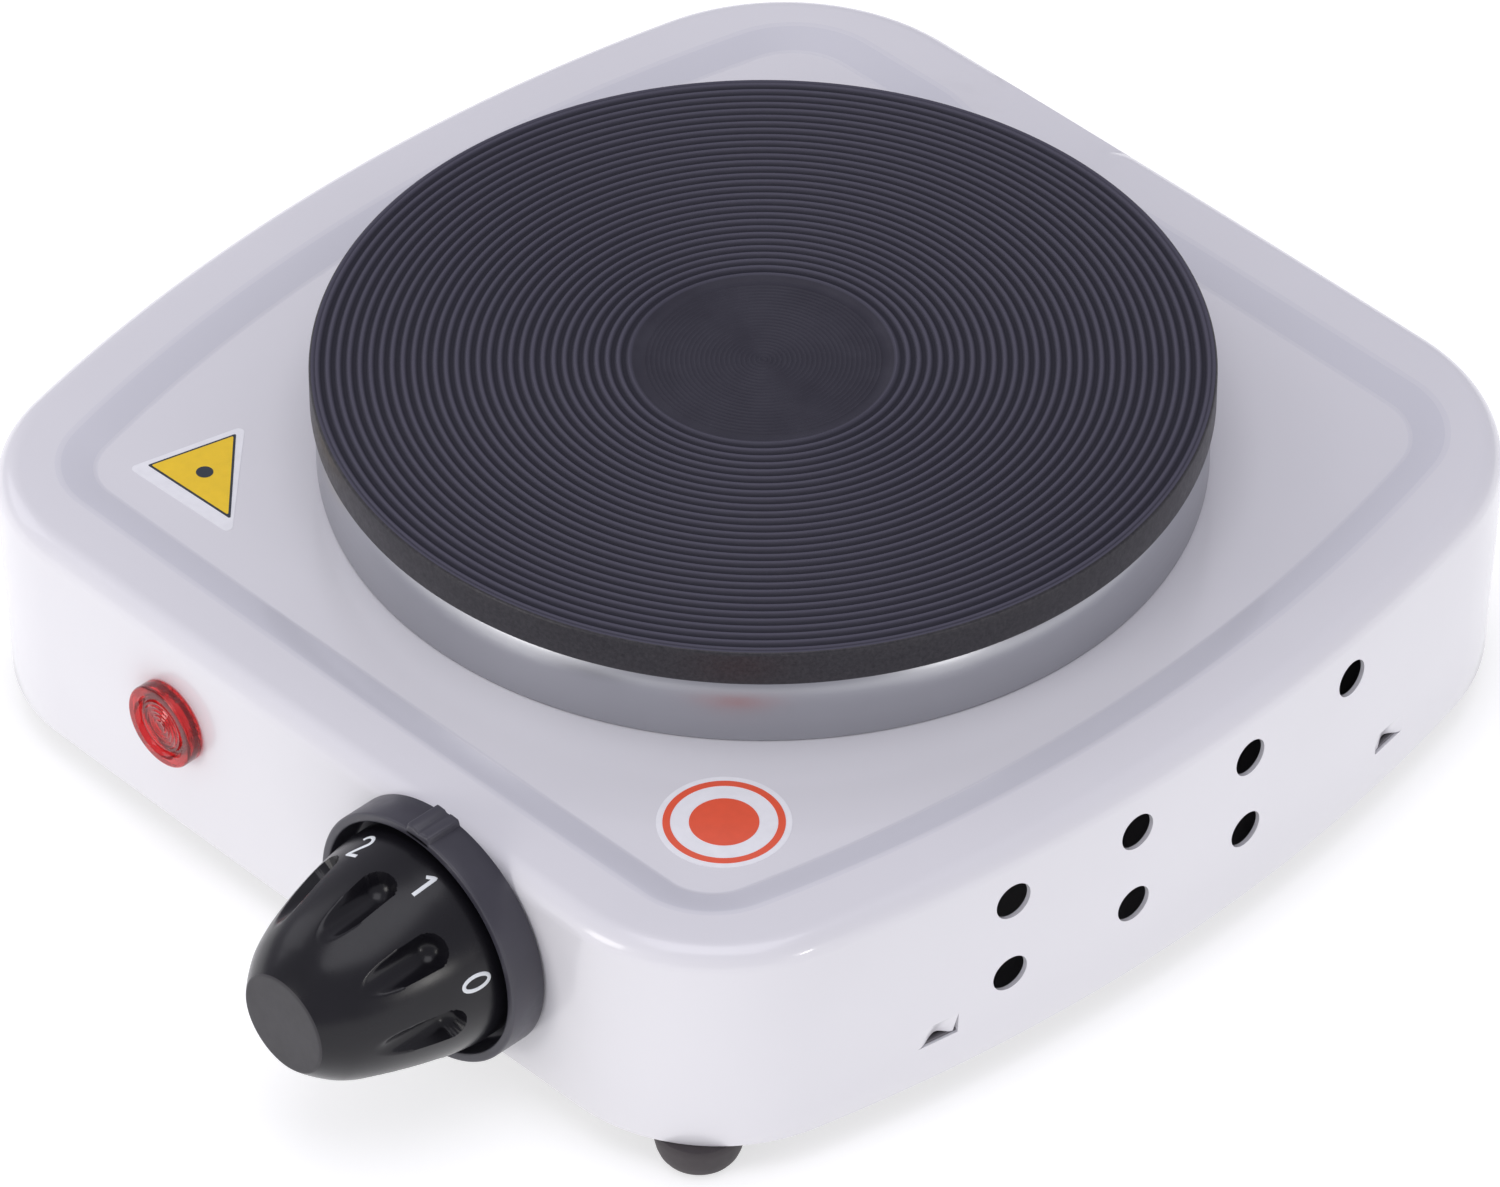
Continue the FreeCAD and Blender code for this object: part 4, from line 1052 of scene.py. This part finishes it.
def index_rib():
    """Raised rounded block across the bezel's rim with a pointed mark at its front."""
    half = 2.7 * MM
    base = BEZEL_RADIUS - 0.7 * MM
    foot = base - 0.3 * MM
    top = BEZEL_RADIUS + 0.95 * MM
    soft = 0.5 * MM
    left = [(-half - 0.5 * MM, foot)]
    left += arc((-half + soft, top - soft), soft, 180, 90, 4)
    left += [(-0.7 * MM, top), (-0.35 * MM, top - 0.35 * MM)]
    outline = left + [(-x, z) for x, z in reversed(left)]
    depths = [0.15 * MM, BEZEL_DEPTH - 0.5 * MM, BEZEL_DEPTH - 0.12 * MM, BEZEL_DEPTH]
    shrink = [0.0, 0.0, 0.15 * MM, 0.5 * MM]
    place = facing_front(KNOB_AXIS)
    tilt = math.radians(-2)
    vertices = []
    for depth, less in zip(depths, shrink):
        for x, z in outline:
            x = x * (1 - less / half)
            z = max(z - less, foot) if z > base else z
            vertices.append(place(x * math.cos(tilt) - z * math.sin(tilt),
                                  x * math.sin(tilt) + z * math.cos(tilt), depth))
    count = len(outline)
    faces = ring_faces(len(depths), count) + [cap(0, count), cap(len(depths) - 1, count)]
    rib = make_piece("index_rib", vertices, faces, ["bezel_plastic"], sharp=50)


# ---- lamp

def pilot_lamp():
    """Round lens: flat rim, a groove, and a low inner disc with fine rings."""
    out = LENS_RADIUS
    proud = FRONT_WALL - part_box("lamp_lens")[0].y
    soft = 0.5 * MM
    tail = -12 * MM
    tail_outer = 5.9 * MM
    tail_inner = 4.6 * MM
    profile = [(0.25 * MM, proud - 0.5 * MM)]
    for ring in range(4):
        radius = (0.8 + ring * 0.95) * MM
        profile += [(radius, proud - 0.55 * MM), (radius + 0.35 * MM, proud - 0.35 * MM),
                    (radius + 0.6 * MM, proud - 0.55 * MM)]
    profile += [(4.75 * MM, proud - 0.5 * MM), (4.95 * MM, proud - 1.0 * MM), (5.5 * MM, proud - 1.05 * MM),
                (5.8 * MM, proud - 0.25 * MM), (6.1 * MM, proud)]
    profile += [(out - soft - 0.2 * MM, proud)]
    profile += arc((out - soft, proud - soft), soft, 80, 0, 5)
    profile += [(out, 0.15 * MM), (out - 0.2 * MM, 0.0), (tail_outer, 0.0), (tail_outer, tail),
                (tail_inner, tail), (tail_inner, 0.4 * MM), (0.25 * MM, 0.4 * MM)]
    lens = lathe("red_lens", profile, facing_front(LENS_AXIS), ["red_lens"], segments=96,
                 closed=False, sharp=35)
    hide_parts("lamp_lens")


# ---- feet and grommet

def feet():
    """Domed rubber feet with a rounded tread and a stepped hole for the screw."""
    bore = 2.1
    recess = 4.0
    step = 3
    for node in ("foot_front_left", "foot_front_right", "foot_rear_left", "foot_rear_right"):
        low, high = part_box(node)
        out = (high.x - low.x) / 2
        profile = millimetres((bore, step), (recess, step), (recess, 0.3), (4.3, 0), (5, 0), (5.6, 0.25),
                              (6.25, 0.8), (6.8, 1.6), (7.25, 2.8), (7.55, 4.2))
        profile += [(out - 0.05 * MM, 5.6 * MM), (out, high.z - 0.3 * MM), (out - 0.2 * MM, high.z),
                    (bore * MM, high.z)]
        foot = lathe("rubber_" + node, profile, upright(middle(node)), ["foot_rubber"], segments=72,
                     sharp=50)
        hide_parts(node)


def grommet():
    """Bushing in the rear wall: a flange on each side of the sheet."""
    bore = 4.0
    neck = 6.3
    inner_flange = 8.5
    outer_flange = 9
    profile = millimetres(
        (bore, -3.8), (bore + 0.2, -4), (8.2, -4), (inner_flange, -3.7), (inner_flange, -1.6), (neck, -1.6),
        (neck, 0.1), (outer_flange, 0.1), (outer_flange, 0.6), (8.7, 1.1), (8.0, 1.45), (7.2, 1.5),
        (bore + 0.5, 1.5), (bore + 0.12, 1.35), (bore, 1.0))
    piece = lathe("inlet_grommet", profile, facing_back(middle("cord_grommet")), ["grommet_plastic"],
                  segments=72)
    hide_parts("cord_grommet")


# ---- labels

def flat_layer(name, outline, low, high, material):
    """A thin flat layer of a label with a given outline."""
    count = len(outline)
    vertices = [Vector((x, y, z)) for z in (low, high) for x, y in outline]
    faces = ring_faces(2, count) + [cap(0, count), cap(1, count)]
    piece = make_piece(name, vertices, faces, [material], smooth=False)
    return piece


def triangle_outline(corners, margin, corner):
    """Outline of a triangle grown by margin on every side, with rounded corners."""
    points = []
    for index in range(3):
        here = corners[index]
        before = (corners[index - 1] - here).normalized()
        after = (corners[(index + 1) % 3] - here).normalized()
        inwards = (before + after).normalized()
        half = before.angle(after) / 2
        center = here + inwards * ((corner - margin) / math.sin(half))
        out = -inwards
        sweep = math.pi / 2 - half
        turning = 1 if (after.x * before.y - after.y * before.x) > 0 else -1
        for step in range(9):
            angle = turning * sweep * (2 * step / 8 - 1)
            aim = Vector((out.x * math.cos(angle) - out.y * math.sin(angle),
                          out.x * math.sin(angle) + out.y * math.cos(angle)))
            points.append(tuple(center + aim * corner))
    return points


def circle(center, radius, steps=96):
    return arc(center, radius, 0, 360, steps)[:-1]


def ring_layer(name, center, inner, outer, low, high, material, slot):
    """A thin flat ring of a label."""
    profile = [(inner, low), (outer, low), (outer, high), (inner, high)]
    piece = lathe(name, profile, upright(center), [material], segments=96, sharp=30)


LABEL_CORNERS = ((-69.8, -77.3), (-49.3, -76.7), (-65.5, -60.8))
LABEL_BACKING = ((-71.6, -80.1), (-46.0, -79.4), (-66.1, -58.2))
BORDER_WIDTH = 0.42 * MM
DOT_RADIUS = 1.5 * MM
DISC_RING = (8.9 * MM, 10.15 * MM)
DISC_MIDDLE = 5.8 * MM


def on_deck(corners):
    """Places on the deck from millimetres off the housing's middle."""
    return [Vector((x * MM, SHELL_MIDDLE_Y + y * MM)) for x, y in corners]


def triangle_label():
    """White backing, dark border and yellow field, with a plain dot in its middle."""
    low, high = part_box("triangle_label")
    corners = on_deck(LABEL_CORNERS)
    base = low.z
    step = (high.z - low.z) / 4
    backing = flat_layer("label_backing", triangle_outline(on_deck(LABEL_BACKING), 0, 1.0 * MM),
                         base, base + step, "label_white")
    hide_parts("triangle_label")
    flat_layer("label_border", triangle_outline(corners, 0, 0.25 * MM),
               base + step, base + 2 * step, "label_dark")
    flat_layer("label_field", triangle_outline(corners, -BORDER_WIDTH, 0.2 * MM),
               base + 2 * step, base + 3 * step, "label_yellow")
    dot = sum(corners, Vector((0, 0))) / 3
    flat_layer("label_dot", circle(dot, DOT_RADIUS, 48),
               base + 3 * step, base + 3.5 * step, "label_dark")


def round_label():
    """White disc with an orange-red outer ring and a plain orange-red middle."""
    low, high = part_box("round_label")
    center = middle("round_label")
    step = (high.z - low.z) / 4
    backing = flat_layer("disc_backing", circle(center, (high.x - low.x) / 2),
                         low.z, low.z + step, "label_white")
    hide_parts("round_label")
    ring_layer("disc_ring", center, *DISC_RING,
               low.z + step, low.z + 2 * step, "label_orange", "orange_label")
    flat_layer("disc_middle", circle(center, DISC_MIDDLE),
               low.z + step, low.z + 2 * step, "label_orange")


# ---- carried-over CAD pieces

def finish_cad_nodes():
    """Every CAD piece that still shows takes the finish of its slot in the record."""
    slots = {part["node"]: part["material_slot"] for part in frame["record"]["subparts"]}
    for node, thing in frame["nodes"].items():
        if thing.hide_render:
            continue
        thing.data.materials.clear()
        thing.data.materials.append(MATERIALS[slots[node]])


# ---- stage, light and camera

FLOOR_SIZE = 6.0


def floor():
    """Plain pale floor with a faint glow of its own, near white as in the photo."""
    mesh = bpy.data.meshes.new("floor")
    half = FLOOR_SIZE / 2
    corners = [(-half, -half, 0), (half, -half, 0), (half, half, 0), (-half, half, 0)]
    mesh.from_pydata(corners, [], [(0, 1, 2, 3)])
    piece = add_object("floor", mesh)
    finish = Finish("floor_white", (0.60, 0.60, 0.60), 0.8)
    finish.set("Emission Color", (1, 1, 1, 1))
    finish.set("Emission Strength", 0.63)
    mesh.materials.append(finish.material)


WARM = (1.0, 0.98, 0.94)
COOL = (0.95, 0.945, 1.0)


def direction(azimuth, elevation):
    """Unit vector away from the burner: azimuth 0 is its front, 90 its right side."""
    a = math.radians(azimuth)
    e = math.radians(elevation)
    return Vector((math.sin(a) * math.cos(e), -math.cos(a) * math.cos(e), math.sin(e)))


def soft_light(name, azimuth, elevation, distance, size, radiance, color):
    """A square softbox aimed at the burner; radiance is what a mirror would show of it."""
    data = bpy.data.lights.new(name, "AREA")
    data.shape = "SQUARE"
    data.size = size
    data.energy = radiance * math.pi * size ** 2
    data.color = color
    light = add_object(name, data)
    back = direction(azimuth, elevation)
    target = Vector((0, PLATE_MIDDLE.y, DECK_TOP))
    light.location = target + back * distance
    light.rotation_euler = back.to_track_quat("Z", "Y").to_euler()


def lights():
    """Cool pale surroundings and four softboxes."""
    world = bpy.data.worlds.new("studio")
    world.use_nodes = True
    background = world.node_tree.nodes["Background"]
    background.inputs["Color"].default_value = (0.895, 0.885, 1.0, 1)
    background.inputs["Strength"].default_value = 0.53
    bpy.context.scene.world = world
    soft_light("key_front", -12, 14, 1.6, 0.55, 5.0, WARM)
    soft_light("fill_left", -75, 32, 1.8, 0.9, 1.1, COOL)
    soft_light("overhead", 40, 80, 2.0, 1.5, 1.75, COOL)
    soft_light("strip_right", 88, 9, 1.4, 0.15, 18.0, WARM)


CAMERA_OFFSET = Vector((957.2, -934.6, 1091.1)) * MM
CAMERA_AZIMUTH = 45.78
CAMERA_ELEVATION = 40.54
FOCAL_PIXELS = 10149
FRAME_WIDTH = 1500
SENSOR_WIDTH = 36


def camera():
    """The photograph's viewpoint, with a long lens."""
    data = bpy.data.cameras.new("camera")
    data.sensor_width = SENSOR_WIDTH
    data.sensor_fit = "HORIZONTAL"
    data.lens = SENSOR_WIDTH * FOCAL_PIXELS / FRAME_WIDTH
    data.clip_start = 0.1
    data.clip_end = 20
    thing = add_object("camera", data)
    top = Vector((PLATE_MIDDLE.x, PLATE_MIDDLE.y, PLATE_TOP))
    thing.location = top + CAMERA_OFFSET
    back = direction(CAMERA_AZIMUTH, CAMERA_ELEVATION)
    thing.rotation_mode = "QUATERNION"
    thing.rotation_quaternion = (-back).to_track_quat("-Z", "Y")
    bpy.context.scene.camera = thing
    bpy.context.scene.view_settings.view_transform = "Standard"


camera()
lights()
floor()
housing()
hot_plate()
spill_ring()
control_knob()
dial_bezel()
pilot_lamp()
feet()
grommet()
triangle_label()
round_label()
finish_cad_nodes()
